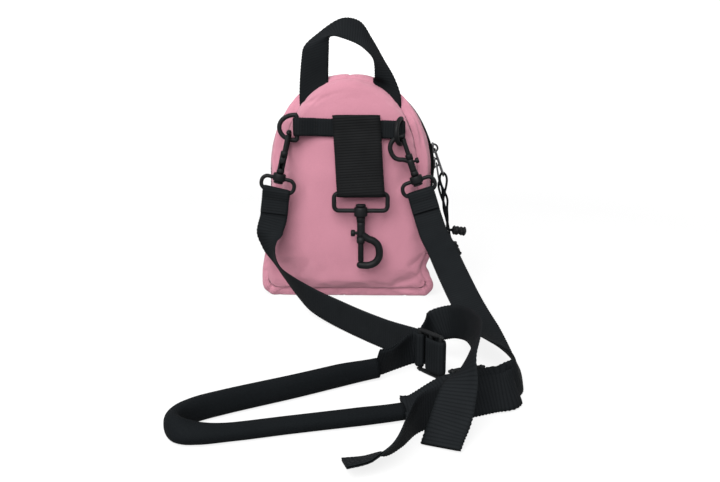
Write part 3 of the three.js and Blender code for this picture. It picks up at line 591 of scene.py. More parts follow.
def floor_finish():
    """Pale floor that glows more with distance from some way out, so its far edge fades into the white."""
    finish, tree, shader = new_finish(
        "pale_floor", 0.9, Specular_IOR_Level=0.0, Base_Color=(0.08, 0.08, 0.08, 1),
        Emission_Color=(1, 1, 1, 1),
    )
    away = tree.nodes.new("ShaderNodeVectorMath")
    away.operation = "LENGTH"
    tree.links.new(place_on(tree), away.inputs[0])
    further = calc(tree, "SUBTRACT", away.outputs["Value"], FLOOR_GLOW["from_m"])
    gain = calc(tree, "MULTIPLY", calc(tree, "MAXIMUM", further, 0.0), FLOOR_GLOW["gain_per_m"])
    glow = calc(tree, "MINIMUM", calc(tree, "ADD", gain, FLOOR_GLOW["near"]), FLOOR_GLOW["far"])
    tree.links.new(glow, shader.inputs["Emission Strength"])
    return finish


# Cloth, thread and webbing finishes blend from their dark to their light colour by the height of the weave or
# ribs: painted shade in the hollows and painted highlight on the tops. The moulded and nickel finishes vary
# by wear and scuffs.
PINK = cloth_finish(
    "pink_weave", (0.175, 0.066, 0.089, 1), (0.285, 0.122, 0.158, 1), 0.45, 0.85, 0.00014,
    Sheen_Weight=0.08, Sheen_Roughness=0.5, Specular_IOR_Level=0.15,
)
GRIP_CLOTH = cloth_finish(
    "grip_cover", (0.001, 0.0013, 0.0016, 1), (0.0034, 0.0041, 0.0047, 1), 0.5, 0.7, 0.0001,
    Specular_IOR_Level=0.02,
)
STRAP_WEB = webbing_finish(
    "strap_webbing", (0.0022, 0.0026, 0.003, 1), (0.0046, 0.0053, 0.0059, 1), RIB, 0.00018,
)
FLAP_WEB = webbing_finish(
    "flap_webbing", (0.0016, 0.0017, 0.0018, 1), (0.0054, 0.0056, 0.0059, 1), RIB, 0.0004,
)
THREAD = cloth_finish(
    "black_thread", (0.002, 0.0021, 0.0023, 1), (0.0075, 0.0078, 0.0084, 1), 0.3, 0.7, 0.00005,
    Specular_IOR_Level=0.03,
)
PINK_THREAD = cloth_finish(
    "pink_thread", (0.16, 0.06, 0.083, 1), (0.26, 0.11, 0.143, 1), 0.3, 0.7, 0.00005, Specular_IOR_Level=0.1,
)
ZIP_TAPE = webbing_finish("zip_tape", (0.0012, 0.0012, 0.0014, 1), (0.005, 0.005, 0.0057, 1), 0.9, 0.0002)
PLASTIC = moulded_finish("moulded_black", (0.002, 0.0022, 0.0024, 1), (0.0065, 0.0071, 0.0076, 1), 0.5)
NICKEL = metal_finish("dark_nickel", (0.015, 0.015, 0.016, 1), (0.06, 0.06, 0.063, 1))
FLOOR = floor_finish()


# Shape of the bag
def section(y):
    """Outline sizes at depths y, run smoothly through the table: arch, base, top, bottom, corner."""
    last = len(SECTIONS) - 1
    first = np.clip(np.searchsorted(SECTIONS[:, 0], y, side="left") - 1, 0, last - 1)
    span = SECTIONS[first + 1, 0] - SECTIONS[first, 0]
    share = np.clip((y - SECTIONS[first, 0]) / span, 0, 1)[..., None]
    rows = [SECTIONS[np.clip(first + k, 0, last), 1:] for k in (-1, 0, 1, 2)]
    bend = (rows[3] - rows[2] - rows[1] + rows[0]) / 4
    out = rows[1] + (rows[2] - rows[1]) * share - bend * share * (1 - share) * 0.5
    out[..., 3] = np.maximum(out[..., 3], 0)
    return np.moveaxis(out, -1, 0)


def bag_skin(q, y, inset=0.0):
    """Point of the bag's skin at depth y. q runs from -5 to 5: its sign is the side, and its size goes
    from the bottom's middle at 0 over corner (1), low side (2), side above the zip's end (3) and
    arch (4) to the top at 5. inset moves the skin inwards.
    """
    q, y = np.broadcast_arrays(np.asarray(q, dtype=float), np.asarray(y, dtype=float))
    arch, base, top, bottom, corner = section(y)
    arch, base, top, bottom = arch - inset, base - inset, top - inset, bottom + inset
    e = np.abs(q)
    base = base + np.where(q < 0, LEFT_SPREAD, 0)
    turn = (e - 1) * np.pi / 2
    rise = (e - 4) * np.pi / 2
    start = bottom + corner
    parts = [e < 1, e < 2, e < 3, e < 4]
    z = np.select(
        parts,
        [
            bottom,
            start - corner * np.cos(turn),
            start + (ZIP_END - start) * (e - 2),
            ZIP_END + (ARCH_FOOT - ZIP_END) * (e - 3),
        ],
        ARCH_FOOT + (top - ARCH_FOOT) * np.sin(np.clip(rise, 0, None)) ** ARCH_POWER,
    )
    wall = base + (arch - base) * smooth_step((z - start) / (ARCH_FOOT - start))
    x = np.select(
        parts,
        [(base - corner) * e, base - corner + corner * np.sin(turn), wall, wall],
        arch * np.clip(np.cos(rise), 0, None) ** ARCH_POWER,
    )
    dent = WAIST["depth"] * bump_at(z, WAIST["height"], WAIST["reach"]) * smooth_step(e - 0.9)
    x = x - np.where(q > 0, dent, 0)
    return np.stack([np.where(q < 0, -x, x), y, z], axis=-1)


def q_run(first, last, count, over):
    """Values of q from one side to the other: over the top, where q passes from -5 to 5, or under the
    bottom.
    """
    if over:
        return np.concatenate([np.linspace(first, -5, count // 2), np.linspace(5, last, count // 2)])
    return np.linspace(first, last, count)


def even_q(first, last, count, over):
    """Values of q whose points are evenly spaced along the bag's middle outline."""
    fine = q_run(first, last, 1800, over)
    far = lengths_along(bag_skin(fine, 0))
    middle = np.interp(np.linspace(0, far[-1], count), far, np.arange(len(fine)))
    return fine[np.rint(middle).astype(int)]


CLOTH_TRIAL = {
    "mass": 0.3, "quality": 6, "tension_stiffness": 12, "compression_stiffness": 12, "shear_stiffness": 6,
    "tension_damping": 8, "use_pressure": True,
}
TRIAL_STEPS = 20


def settled(shell, held, pressure, slack, bending, reach):
    """Cloth simulation of a sheet held at some points: a light pressure fills it and spare cloth wrinkles.
    Returns how far each point moved, cut off at a reach.
    """
    obj = mesh_object("cloth_trial", shell)
    group = obj.vertex_groups.new(name="held")
    group.add(np.flatnonzero(held).tolist(), 1.0, "REPLACE")
    cloth = obj.modifiers.new("cloth", "CLOTH")
    cloth.settings.vertex_group_mass = "held"
    for key, value in CLOTH_TRIAL.items():
        setattr(cloth.settings, key, value)
    cloth.settings.bending_stiffness = bending
    cloth.settings.shrink_min = -slack
    cloth.settings.uniform_pressure_force = pressure
    cloth.settings.effector_weights.gravity = 0
    cloth.collision_settings.use_collision = False
    cloth.point_cache.frame_start = 1
    cloth.point_cache.frame_end = TRIAL_STEPS
    for step in range(1, TRIAL_STEPS + 1):
        scene.frame_set(step)
    shown = obj.evaluated_get(bpy.context.evaluated_depsgraph_get())
    after = np.empty(len(shell["points"]) * 3, dtype=np.float32)
    shown.data.vertices.foreach_get("co", after)
    bpy.data.objects.remove(obj, do_unlink=True)
    scene.frame_set(1)
    move = after.reshape(-1, 3) / MM - shell["points"]
    far = np.linalg.norm(move, axis=1, keepdims=True)
    return move * np.minimum(1, reach / np.maximum(far, 1e-6))


# Padded panels
BAG_MIDDLE = np.array((0.0, 0, 100))
PANEL = {
    "wide": 71, "tall": 91, "cloth_wide": 165, "cloth_tall": 220, "top_corner": 4.55, "low_corner": 1.5,
    "inset": 2.3, "sunk": 2.65, "shoulder": 0.2,
}
# How far a panel's cloth may swell: hardly under the band, more below it
PANEL_SWELL = {"least": 0.1, "more": 1.6, "below": 148, "over": 25}
# Soft folds of the back panel: from, to, width and depth
FOLDS = [
    ((-38, 128), (-50, 96), 6, 0.7), ((-52, 92), (-48, 40), 7, 0.8), ((-30, 40), (34, 30), 9, 0.5),
    ((44, 120), (52, 70), 8, 0.6), ((-16, 190), (-24, 206), 6, 0.4),
]


def dome_at(x, z, side):
    """Height of a panel's dome over its seam: an ellipse in the arch, squarer below it."""
    arch, base, top, bottom, corner = section(np.array(float(side * SEAM_DEPTH)))
    start = bottom + corner
    spread = base + LEFT_SPREAD
    wall = spread + (arch - spread) * smooth_step((z - start) / (ARCH_FOOT - start))
    high = z > ARCH_FOOT
    rise = np.abs(z - ARCH_FOOT) / np.where(high, top - ARCH_FOOT, ARCH_FOOT - bottom)
    away = (x / np.where(high, arch, wall)) ** 2 + np.where(high, rise ** 2, rise ** 6)
    return DOME * np.maximum(1 - away, 0) ** 0.7


def fold_depth(x, z):
    """Depth of the soft folds: a bell across each fold's line that fades out at its ends."""
    depth = np.zeros_like(x)
    for (x0, z0), (x1, z1), width, deep in FOLDS:
        long = np.hypot(x1 - x0, z1 - z0)
        ax, az = (x1 - x0) / long, (z1 - z0) / long
        along = (x - x0) * ax + (z - z0) * az
        off = (x - x0) * az - (z - z0) * ax
        depth += deep * bump_at(off, 0, width) * bump_at(along, long / 2, 0.6 * long)
    return depth


def panel_shell(side):
    """Panel over a seam: a patch blended between the four edges of the outline, raised by the dome. Near the
    sunken seam the shoulder rises as a quarter of an ellipse.
    """
    wide, tall = PANEL["wide"], PANEL["tall"]
    low, high = PANEL["low_corner"], PANEL["top_corner"]

    def closer(count):
        """Shares from 0 to 1 that lie closer together at both ends."""
        even = np.linspace(0, 1, count)
        return (0.5 - 0.5 * np.cos(np.pi * even)) * 0.5 + 0.5 * even

    def edge(first, last, shares, over=False):
        """Points (x, z) of the outline between two values of q, at shares of its length."""
        q = q_run(first, last, 600, over)
        line = evenly(bag_skin(q, side * SEAM_DEPTH, PANEL["inset"])[:, [0, 2]], len(shares))
        return read_off(line, np.arange(len(line)), shares * (len(line) - 1))

    u, t = closer(wide), closer(tall)
    at_u, at_t = u * (wide - 1), t * (tall - 1)
    bottom, top = edge(-low, low, u), edge(-high, high, u, True)
    left, right = edge(-low, -high, t), edge(low, high, t)
    u, t = u[None, :, None], t[:, None, None]
    corners = (
        (1 - u) * (1 - t) * bottom[0] + u * (1 - t) * bottom[-1]
        + (1 - u) * t * top[0] + u * t * top[-1]
    )
    flat = (1 - t) * bottom[None] + t * top[None] + (1 - u) * left[:, None] + u * right[:, None] - corners
    x, z = flat[..., 0], flat[..., 1]
    across, upward = np.abs(2 * u[..., 0] - 1), np.abs(2 * t[..., 0] - 1)
    near_edge = np.clip((1 - across ** 2) * (1 - upward ** 2) / PANEL["shoulder"], 0, 1)
    shoulder = (PADDING + PANEL["sunk"]) * np.sqrt(near_edge * (2 - near_edge))
    y = SEAM_DEPTH + GAP - PANEL["sunk"] + shoulder + dome_at(x, z, side) * np.sqrt(near_edge)
    if side < 0:
        y = y - fold_depth(x, z) * near_edge
    points = np.stack([x, side * y, z], axis=-1)
    lie = (
        np.append(at_t, tall) * PANEL["cloth_tall"] / tall,
        np.append(at_u, wide) * PANEL["cloth_wide"] / wide,
    )
    rim = np.zeros((tall, wide), dtype=bool)
    rim[[0, -1]] = True
    rim[:, [0, -1]] = True
    return facing_away(grid_shell(points, uv=lie), BAG_MIDDLE), rim.ravel()


def padded_panel(name, side):
    """A panel whose cloth has settled over its padding. Under the band it stays behind the webbing."""
    shell, rim = panel_shell(side)
    rest = side * shell["points"][:, 1]
    points = shell["points"] + settled(shell, rim, pressure=1.2, slack=0.012, bending=1.5, reach=4)
    below = smooth_step((PANEL_SWELL["below"] - points[:, 2]) / PANEL_SWELL["over"])
    free = PANEL_SWELL["least"] + PANEL_SWELL["more"] * below
    points[:, 1] = side * np.minimum(side * points[:, 1], rest + free)
    shell["points"] = points
    with_wall(piece(name, shell, PINK), PADDING)


padded_panel("back_panel", -1)
padded_panel("front_panel", 1)


# Side cloth
SEAM = {"sink": 3.0, "reach": 2.3, "roll": 1.5, "roll_at": 7.5, "roll_reach": 4.0}
PLEAT = {"height": 171, "reach": 17, "roll": 2.0, "roll_at": 2.8, "crease": 1.4, "crease_at": 5.6}
PINCH = {"at": 1.45, "reach": 0.12, "depth": 2.2}
# Share of q left free at the zip's ends
SEAM_TRIM = 0.004
FLOOR_CLEAR = 0.05
REAR_DEPTHS = np.concatenate([
    (-36, -35.6, -35.2, -34.7, -34.2, -33.6, -32.9, -32.1, -31.2, -30.2, -29), np.linspace(-27.5, -5.35, 10),
])


def seam_rise(away, q, z, pleated):
    """How far the cloth stands out at a distance from its seam: sunk at the seam, then a roll. The rear right
    side has a second roll, and the bottom corners a pinch.
    """
    wobble = 1 + 0.25 * np.sin(z / 9.0) + 0.15 * np.sin(q * 7.0)
    rise = -SEAM["sink"] * bump_at(away, 0, SEAM["reach"])
    rise = rise + SEAM["roll"] * wobble * bump_at(away, SEAM["roll_at"], SEAM["roll_reach"])
    rise = rise - PINCH["depth"] * bump_at(np.abs(q), PINCH["at"], PINCH["reach"]) * bump_at(away, 0, 7)
    if pleated:
        here = bump_at(z, PLEAT["height"], PLEAT["reach"]) * (q > 0)
        roll = PLEAT["roll"] * bump_at(away, PLEAT["roll_at"], 1.5)
        rise = rise + here * (roll - PLEAT["crease"] * bump_at(away, PLEAT["crease_at"], 1.4))
    return rise


def sewn_strip(q, y):
    """Grid of the bag's skin over values of q and depths y, moved along its normals by the seams at its
    edges.
    """
    grid = bag_skin(q[:, None], y[None, :])
    steps = np.linalg.norm(np.diff(grid, axis=1), axis=2)
    far = np.concatenate([np.zeros((len(q), 1)), np.cumsum(steps, axis=1)], axis=1)
    rise = np.zeros_like(far)
    if y[0] < -SEAM_DEPTH + 1:
        rise = rise + seam_rise(far, q[:, None], grid[..., 2], True)
    if y[-1] > SEAM_DEPTH - 1:
        rise = rise + seam_rise(far[:, -1:] - far, q[:, None], grid[..., 2], False)
    points = grid + grid_normals(grid, BAG_MIDDLE) * rise[..., None]
    middle = lengths_along(grid[:, len(y) // 2])
    return points, (np.append(middle, middle[-1] + 1), np.append(y, y[-1] + 1))


def side_cloth(name, q, y, pressure):
    """Sewn strip held along its edges, with the spare cloth puffed out a little between them."""
    points, lie = sewn_strip(q, y)
    held = np.zeros(points.shape[:2], dtype=bool)
    held[:, [0, -1]] = True
    held[[0, -1]] = True
    shell = facing_away(grid_shell(points, uv=lie), BAG_MIDDLE)
    moved = shell["points"] + settled(shell, held.ravel(), pressure, slack=0.015, bending=0.8, reach=1.2)
    moved[:, 2] = np.maximum(moved[:, 2], FLOOR_CLEAR)
    shell["points"] = moved
    with_wall(piece(name, shell, PINK), CLOTH)


over_top = even_q(-3 - SEAM_TRIM, 3 + SEAM_TRIM, 241, True)
under = even_q(-3 + SEAM_TRIM, 3 - SEAM_TRIM, 161, False)
side_cloth("rear_gusset", over_top, REAR_DEPTHS, 1.0)
side_cloth("front_gusset", over_top, -REAR_DEPTHS[::-1], 1.0)
base_depths = np.concatenate([REAR_DEPTHS[:11], np.linspace(-27.5, 27.5, 23), -REAR_DEPTHS[10::-1]])
side_cloth("base_gusset", under, base_depths, 0.6)


# Zip
TAPE = {"overlap": 0.2, "lift": 0.3, "bow": 0.8, "thick": 0.7}
TEETH = {
    "pitch": 1.5, "lift": 1.2, "reach": (-2.1, -1.9, 0.1, 0.35), "girth": (0.4, 1, 1, 0.5),
    "wide": 0.5, "tall": 0.7,
}
ZIP_DRAWN = {"out": 2.2, "height": 136, "reach": 24, "sunk": 0.9, "over": 30}


def zip_rise():
    """Lift of the zip along the arch: drawn out by its sliders on the right, sunk on the left."""
    x, _, z = bag_skin(over_top, 0).T
    out = ZIP_DRAWN["out"] * bump_at(z, ZIP_DRAWN["height"], ZIP_DRAWN["reach"])
    return np.where(x > 0, out, -ZIP_DRAWN["sunk"] * smooth_step(-x / ZIP_DRAWN["over"]))


def tape_shell():
    """Tape along the arch, bowed up from its sewn edges to the teeth in its middle."""
    half = ZIP_HALF + TAPE["overlap"]
    y = np.linspace(-half, half, 9)
    bow = 1 - (y / y[-1]) ** 2
    lift = TAPE["bow"] + zip_rise()
    points = np.stack([bag_skin(over_top, d, -TAPE["lift"] - lift * b) for d, b in zip(y, bow)], axis=1)
    far = lengths_along(points[:, 4])
    shell = grid_shell(points, uv=(np.append(far, far[-1] + 1), np.append(y, y[-1] + 1)))
    return facing_away(shell, BAG_MIDDLE)


def zip_frame(place):
    """Directions along a line beside the zip and out of the bag."""
    along = unit(np.gradient(place, axis=0))
    out = np.cross(FRONT, along)
    return along, out * np.sign(np.sum(out * (place - BAG_MIDDLE)))


def teeth_shell():
    """Two rows of short coil teeth along the tape's middle, each an oval bar across it, set half a pitch
    apart.
    """
    line = bag_skin(over_top, 0, -TEETH["lift"] - zip_rise())
    place = evenly(line, int(lengths_along(line)[-1] / TEETH["pitch"]))
    along, out = zip_frame(place)
    turn = circle(6)
    girth = np.array(TEETH["girth"])[:, None]
    shells = []
    for side in (-1, 1):
        bars = (
            (place + along * (0.25 * side * TEETH["pitch"]))[:, None, None]
            - FRONT * (side * np.array(TEETH["reach"]))[None, :, None, None]
            + along[:, None, None] * (TEETH["wide"] * girth * np.cos(turn))[None, ..., None]
            + out[:, None, None] * (TEETH["tall"] * girth * np.sin(turn))[None, ..., None]
        )
        shells.append(repeated(bars, 4, 6))
    return merged(shells)


def edge_stitches(y):
    """Stitches through the cloth's edge beside the zip."""
    place = evenly(bag_skin(over_top, y, -0.1), 900)
    return stitches(place, zip_frame(place)[1])


with_wall(piece("main_zip", tape_shell(), ZIP_TAPE), TAPE["thick"])
piece("zip_teeth", teeth_shell(), PLASTIC, added=True)
zip_rows = [edge_stitches(side * (ZIP_HALF + 1.7)) for side in (-1, 1)]
piece("zip_stitches", merged(zip_rows), PINK_THREAD, added=True)


# Grab handle
HANDLE_EDGES = np.array([
    [(-48, -33, 180), (-21, -33, 200)],
    [(-49, -35, 204), (-20.5, -35, 222)],
    [(-46, -40, 239), (-19.4, -40, 246.6)],
    [(-44, -40, 249), (-18.4, -43, 258)],
    [(-33, -29, 261), (-14.5, -49, 259.5)],
    [(-7, -28, 277), (-6, -46, 257.5)],
    [(10, -28, 274), (8, -45, 252)],
    [(22, -28, 257.5), (17.5, -50, 245)],
    [(34, -29, 237), (23, -51, 238)],
    [(43.5, -33, 221), (24.5, -49, 222)],
    [(50, -34.5, 203), (23, -36, 219)],
    [(50, -33, 180), (24, -33, 200)],
], dtype=float)


def handle_shell():
    """Webbing between an outer and an inner edge curve, from the left foot over the top to the right foot,
    and its mean width and length.
    """
    at = np.linspace(0, len(HANDLE_EDGES) - 1, 420)
    outer, inner = catmull(HANDLE_EDGES[:, 0], at), catmull(HANDLE_EDGES[:, 1], at)
    middle = (outer + inner) / 2
    far = lengths_along(middle)
    face = unit(np.cross(unit(np.gradient(middle, axis=0)), inner - outer))
    width = np.linalg.norm(inner - outer, axis=1)[:, None]
    shell = webbing_shell(middle, unit(inner - outer), face, far, width)
    return shell, np.array((width.mean(), far[-1]))


handle, handle_flat = handle_shell()
grab_handle = piece("grab_handle", handle, STRAP_WEB)


# Band, flap and rings on the back panel
def crown_at(x, z):
    """Depth of the back panel's outer face, for what lies on it."""
    return -(SEAM_DEPTH + GAP + PADDING + float(dome_at(np.array(float(x)), np.array(float(z)), -1)))


LEFT_RING = {"bar": np.array((-50.4, -51, 173.7)), "out": np.array((-1.0, 0, 0))}
RIGHT_RING = {"bar": np.array((50.6, -50, 170.4)), "out": np.array((-0.31, -0.951, 0))}
CENTRE_PLACE = {"bar": np.array((11.6, -59, 111)), "aim": (0, 0, -1), "bulge": (1, 0, 0)}
LEFT_PLACE = {"bar": np.array((-70.5, -59.3, 113)), "aim": (0.223, 0, 0.975), "bulge": (0, 1, 0)}
RIGHT_PLACE = {"bar": np.array((69.9, -57.2, 111.3)), "aim": (-0.32, 0, 0.947), "bulge": (-1, 0, 0)}
LAYER_BACK = crown_at(5, 158)
FLAP_BACK = LAYER_BACK - GAP - WEBBING / 2
BAND_LAYER = LAYER_BACK - 2 * GAP - 1.5 * WEBBING
FLAP_FRONT = LAYER_BACK - 3 * GAP - 2.5 * WEBBING
BAND_HEIGHT = 172
BAND_SLOPE = -0.032
# How much higher the photo has the band and the top of the flap than the solids
BAND_RAISED = 1.0
FLAP_RAISED = 2.4
FLAP_LEAN = 0.064


def band_rows():
    """Run of the band: folded round each ring's bar and straight between them."""
    round_bar = RING["radius"] + GAP + WEBBING / 2

    def end(ring, side):
        """Places (x, y) from a foot on the panel, round the bar and back to the band's layer."""
        x, y = ring["bar"][:2]
        foot = x - side * 18
        return [
            (foot, crown_at(foot, BAND_HEIGHT) - 2 * GAP - WEBBING / 2),
            (x - side * 9, y + round_bar + 1.4),
            (x - side * 2, y + round_bar),
            (x + side * round_bar * 0.75, y + round_bar * 0.68),
            (x + side * round_bar, y),
            (x + side * round_bar * 0.75, y - round_bar * 0.68),
            (x - side * 2, y - round_bar),
            (x - side * 9, y - round_bar + 2.2),
            (foot, BAND_LAYER - 0.2),
        ]

    middle = [(-24, BAND_LAYER), (5, BAND_LAYER), (36, BAND_LAYER)]
    run = end(LEFT_RING, -1) + middle + end(RIGHT_RING, 1)[::-1]
    return [((x, y, BAND_HEIGHT + BAND_RAISED + BAND_SLOPE * x), UP) for x, y in run]


def flap_rows():
    """Run of the flap: up behind the band, over it, down to the hook's bar and up behind itself."""
    top = BAND_HEIGHT + BAND_WIDTH / 2 + 2 * GAP + FLAP_RAISED
    turn = (FLAP_BACK - FLAP_FRONT) / 2
    y, z = CENTRE_PLACE["bar"][1:]
    round_bar = CENTRE_HOOK["bar"] / 2 + FOLD_GAP + WEBBING / 2
    run = [
        (FLAP_BACK, top - 26),
        (FLAP_BACK, top - 12),
        (FLAP_BACK, top),
        (BAND_LAYER, top + turn),
        (FLAP_FRONT, top),
        (FLAP_FRONT - 1, top - 14),
        (-53.5, 158),
        (-58.2, 130),
        (y - round_bar + 1.2, z + 6.5),
        (y - round_bar, z),
        (y - round_bar * 0.7, z - round_bar * 0.7),
        (y, z - round_bar),
        (y + round_bar * 0.7, z - round_bar * 0.7),
        (y + round_bar, z + 1),
        (y + 0.8, z + 7.5),
        (-56.6, 126),
    ]
    return [((CENTRE_PLACE["bar"][0] - (pz - z) * FLAP_LEAN, py, pz), RIGHT) for py, pz in run]


def sewn_across(rows, spots, width):
    """Rows of stitches across webbing, on its face towards the back, at distances along its run."""
    middle, across, face, far = webbing_run(rows, WEB_SPACING)
    shells = []
    for spot in spots:
        k = int(np.searchsorted(far, spot))
        look = face[k] * np.sign(face[k] @ (0, -1, 0.2))
        line = middle[k] + across[k] * np.linspace(-0.46, 0.46, 12)[:, None] * width
        shells.append(stitches(line + look * (WEBBING / 2 + 0.1), look))
    return merged(shells)


def webbing_piece(name, rows, width, finish=STRAP_WEB):
    """Webbing of one width along rows."""
    shell, length = webbing(rows, width)
    piece(name, shell, finish)


def stitch_piece(name, shells):
    """Black stitches added on webbing."""
    piece(name, merged(shells), THREAD, added=True)


webbing_piece("ring_band", band_rows(), BAND_WIDTH)
stitch_piece("band_stitches", [sewn_across(band_rows(), (32, 34, 46, 48, 112, 114), BAND_WIDTH)])
webbing_piece("belt_flap", flap_rows(), FLAP_WIDTH, FLAP_WEB)
stitch_piece("flap_stitches", [sewn_across(flap_rows(), (87, 96), FLAP_WIDTH)])


def ring_shell(ring):
    """D-ring: a bow of sine shape that closes along its straight bar, carried as a round tube."""
    turn = np.linspace(0.03, np.pi - 0.03, 40)
    reach = RING["width"] * np.sin(turn) ** 0.85
    high = RING["height"] / 2 * np.cos(turn)
    bow = ring["bar"] + ring["out"] * reach[:, None] + UP * high[:, None]
    bar = ring["bar"] + UP * np.linspace(-0.42, 0.42, 8)[:, None] * RING["height"]
    path = evenly(np.vstack([bow, bar, bow[:1]]), 73)[:-1]
    return tube(path, RING["radius"], np.cross(ring["out"], UP), closed=True)


piece("d_ring_left", ring_shell(LEFT_RING), PLASTIC)
piece("d_ring_right", ring_shell(RIGHT_RING), PLASTIC)


# Snap hooks: middle line of a crook at full size, and how much thicker the photo has it than the solids
CROOK = [
    (0.6, -23.2), (3.4, -25.5), (7.5, -28.2), (12.5, -30.2), (16.6, -34.2), (18.3, -40.5),
    (17.7, -47), (14, -52.2), (7.6, -54.9), (2.6, -54.9), (-0.5, -54.6),
]
CROOK_SWELL = 1.08


def slotted_wall(radius, wall, start, end, gap):
    """Tube wall between two heights, open along a slot on its -X side: a C section carried straight."""
    half = np.arcsin(min(gap / 2 / radius, 0.95))
    turn = np.linspace(-np.pi + half, np.pi - half, 29)
    arc = np.stack([np.cos(turn), np.sin(turn), 0 * turn], axis=1)
    outline = np.vstack([arc * radius, arc[::-1] * (radius - wall)])
    levels = np.linspace(start, end, 6)
    grid = outline[None] + UP * levels[:, None, None]
    return outward(capped(grid_shell(grid, wrap_columns=True), len(levels), len(outline)))


def bar_loop(span, drop, bar, corner):
    """Round bar bent into a flat loop whose upper bar passes the origin."""
    half = (span - bar) / 2
    turn = np.linspace(0, np.pi / 2, 9)
    middles = [
        (half - corner, -corner), (-half + corner, -corner),
        (-half + corner, -drop + corner), (half - corner, -drop + corner),
    ]
    bends = [
        np.stack([x + corner * np.cos(angle), 0 * angle, z + corner * np.sin(angle)], axis=1)
        for (x, z), angle in zip(middles, [turn + k * np.pi / 2 for k in range(4)])
    ]
    path = np.vstack(bends + [bends[0][:1]])
    return tube(evenly(path, 161)[:-1], bar / 2, FRONT, closed=True)


def hook_shells(size):
    """Loop, hook and gate in the hook's own frame: strap bar at the origin, crook down, bulge to +X."""
    drop, k = size["drop"], size["body"]
    boss, barrel, crook = size["boss"], size["barrel"], size["crook"]

    def at(x, z):
        """Place on the hook, measured from its swivel at full size."""
        return np.array((x * k, 0, z * k - drop))

    swivel = at(0, 0)
    hole = 3.3 * k
    collar = [
        (hole, -5.5 * k), (boss - 0.9, -5.5 * k), (boss - 0.25, -5.2 * k), (boss, -4.4 * k),
        (boss, 2.3 * k), (boss - 0.3, 3.1 * k), (boss - 1.0, 3.6 * k), (hole, 3.6 * k),
    ]
    frame_bar = bar_loop(size["span"], drop, size["bar"], size["corner"])
    loop = merged([frame_bar, turned(collar, swivel, UP, ring=True)])

    top = -5.5 * k - GAP
    slot = (-11.4 * k, -26 * k)
    upper = [
        (0, top), (barrel - 0.5, top), (barrel + 0.25, top - 0.6), (barrel + 0.25, top - 2.6),
        (barrel, top - 3.3), (barrel, slot[0]), (0, slot[0]),
    ]
    lower = [
        (barrel - 0.95, slot[1]), (barrel, slot[1]), (barrel, -31.6 * k), (barrel - 0.6, -32.5 * k),
        (barrel - 0.95, -32.5 * k),
    ]
    wall = slotted_wall(barrel - 0.05, 0.9, slot[0] + 0.3, slot[1] - 0.3, 4 * k)
    hook = merged([
        turned(upper, swivel, UP),
        moved_by(wall, np.eye(3), swivel),
        turned(lower, swivel, UP, ring=True),
        drum(2.9 * k, swivel + UP * (top - 1), at(0, 6), 0.3),
        drum(boss * 0.75, at(0, 3.6) + UP * GAP, at(0, 6.3), 0.9 * k),
        tube(smooth_path([at(x, z) for x, z in CROOK], 0.8), crook * CROOK_SWELL, FRONT),
    ])
    tip = at(0, CROOK[-1][1]) + UP * (crook + GAP)
    gate = merged([
        drum(barrel - 1.3, at(0, -17.6), tip, 0.6),
        drum(1.6 * k, at(-1, -22.4), at(-6.4, -22.4), 0.2),
        drum(3.3 * k, at(-5.6, -22.4), at(-9.8, -22.4), 1.0 * k),
    ])
    return {"loop": loop, "hook": hook, "gate": gate}


def hook_axes(place, sideways):
    """Axes of a hook piece as columns: its +X towards a direction, its -Z along the aim."""
    up = -unit(place["aim"])
    sideways = np.asarray(sideways, dtype=float)
    right = unit(sideways - up * (sideways @ up))
    return np.stack([right, np.cross(up, right), up], axis=1)


# Every part of the centre hook moves, and only the gate of the other two
for side, size, place in (
    ("centre", CENTRE_HOOK, CENTRE_PLACE),
    ("left", STRAP_HOOK, LEFT_PLACE),
    ("right", STRAP_HOOK, RIGHT_PLACE),
):
    for part, shell in hook_shells(size).items():
        axes = hook_axes(place, RIGHT if part == "loop" else place["bulge"])
        name = side + "_" + part
        body = name if side == "centre" or part == "gate" else "bag"
        piece(name, moved_by(shell, axes, place["bar"]), PLASTIC, body)


# Adjusters
LEFT_ADJUSTER = {"middle": np.array((69, -248, 18)), "along": np.array((0.62, -0.785, 0)), "up": UP}
RIGHT_ADJUSTER = {
    "middle": np.array((97, -300, 11.8)),
    "along": np.array((0.93, 0.3675, 0)),
    "up": np.array((-0.294, 0.744, 0.6)),
}


def adjuster_shell(place):
    """Two rails with tapered ends and three bars between them."""
    middle, along, up = place["middle"], place["along"], place["up"]
    half = ADJUSTER["inside"] / 2 + ADJUSTER["rail"] / 2
    reach = np.array([BARS["tab"] - 2.2, BARS["tab"], 0, BARS["lip"], BARS["lip"] + 2.2])
    radius = np.interp(np.linspace(0, 4, 30), np.arange(5), (1.2, 1.75, 1.75, 1.75, 1.1))
    shells = []
    for side in (-1, 1):
        line = middle + up * side * half + along * reach[:, None]
        shells.append(tube(evenly(line, 30), radius))
    for bar in BARS.values():
        end = middle + along * bar
        shells.append(tube(end + up * np.linspace(-half, half, 12)[:, None], ADJUSTER["bar"]))
    return merged(shells)


piece("adjuster_left", adjuster_shell(LEFT_ADJUSTER), PLASTIC)
piece("adjuster_right", adjuster_shell(RIGHT_ADJUSTER), PLASTIC)

# Runs through an adjuster as (along it, off its face): in, round the lip and back over itself
THREADED = [
    (-18, 5.2), (-11, 5.0), (-7.2, 3.4), (-4.3, 0.2), (-1.5, -2.6), (1, -3.2), (12, -3.2), (14.5, -2.3),
    (15.3, 0), (14.5, 2.3), (12, 3.2), (3, 3.6), (-3, 5.0), (-8, 6.6), (-12, 7.4), (-18, 8.2),
]
# Round the middle bar and out on the same side
WRAP = [
    (18, 3.3), (12, 3.1), (1, 3.1), (-1.3, 2.3), (-2.1, 0), (-1.3, -2.3), (1, -3.1), (12, -3.1), (18, -3.3),
]
# A grip tab round its bar
TAB_LOOP = [(-17, 1.4), (-12.6, 2.7), (-9.4, 2.1), (-8.25, 0), (-9.4, -2.1), (-12.6, -2.7), (-17, -1.4)]


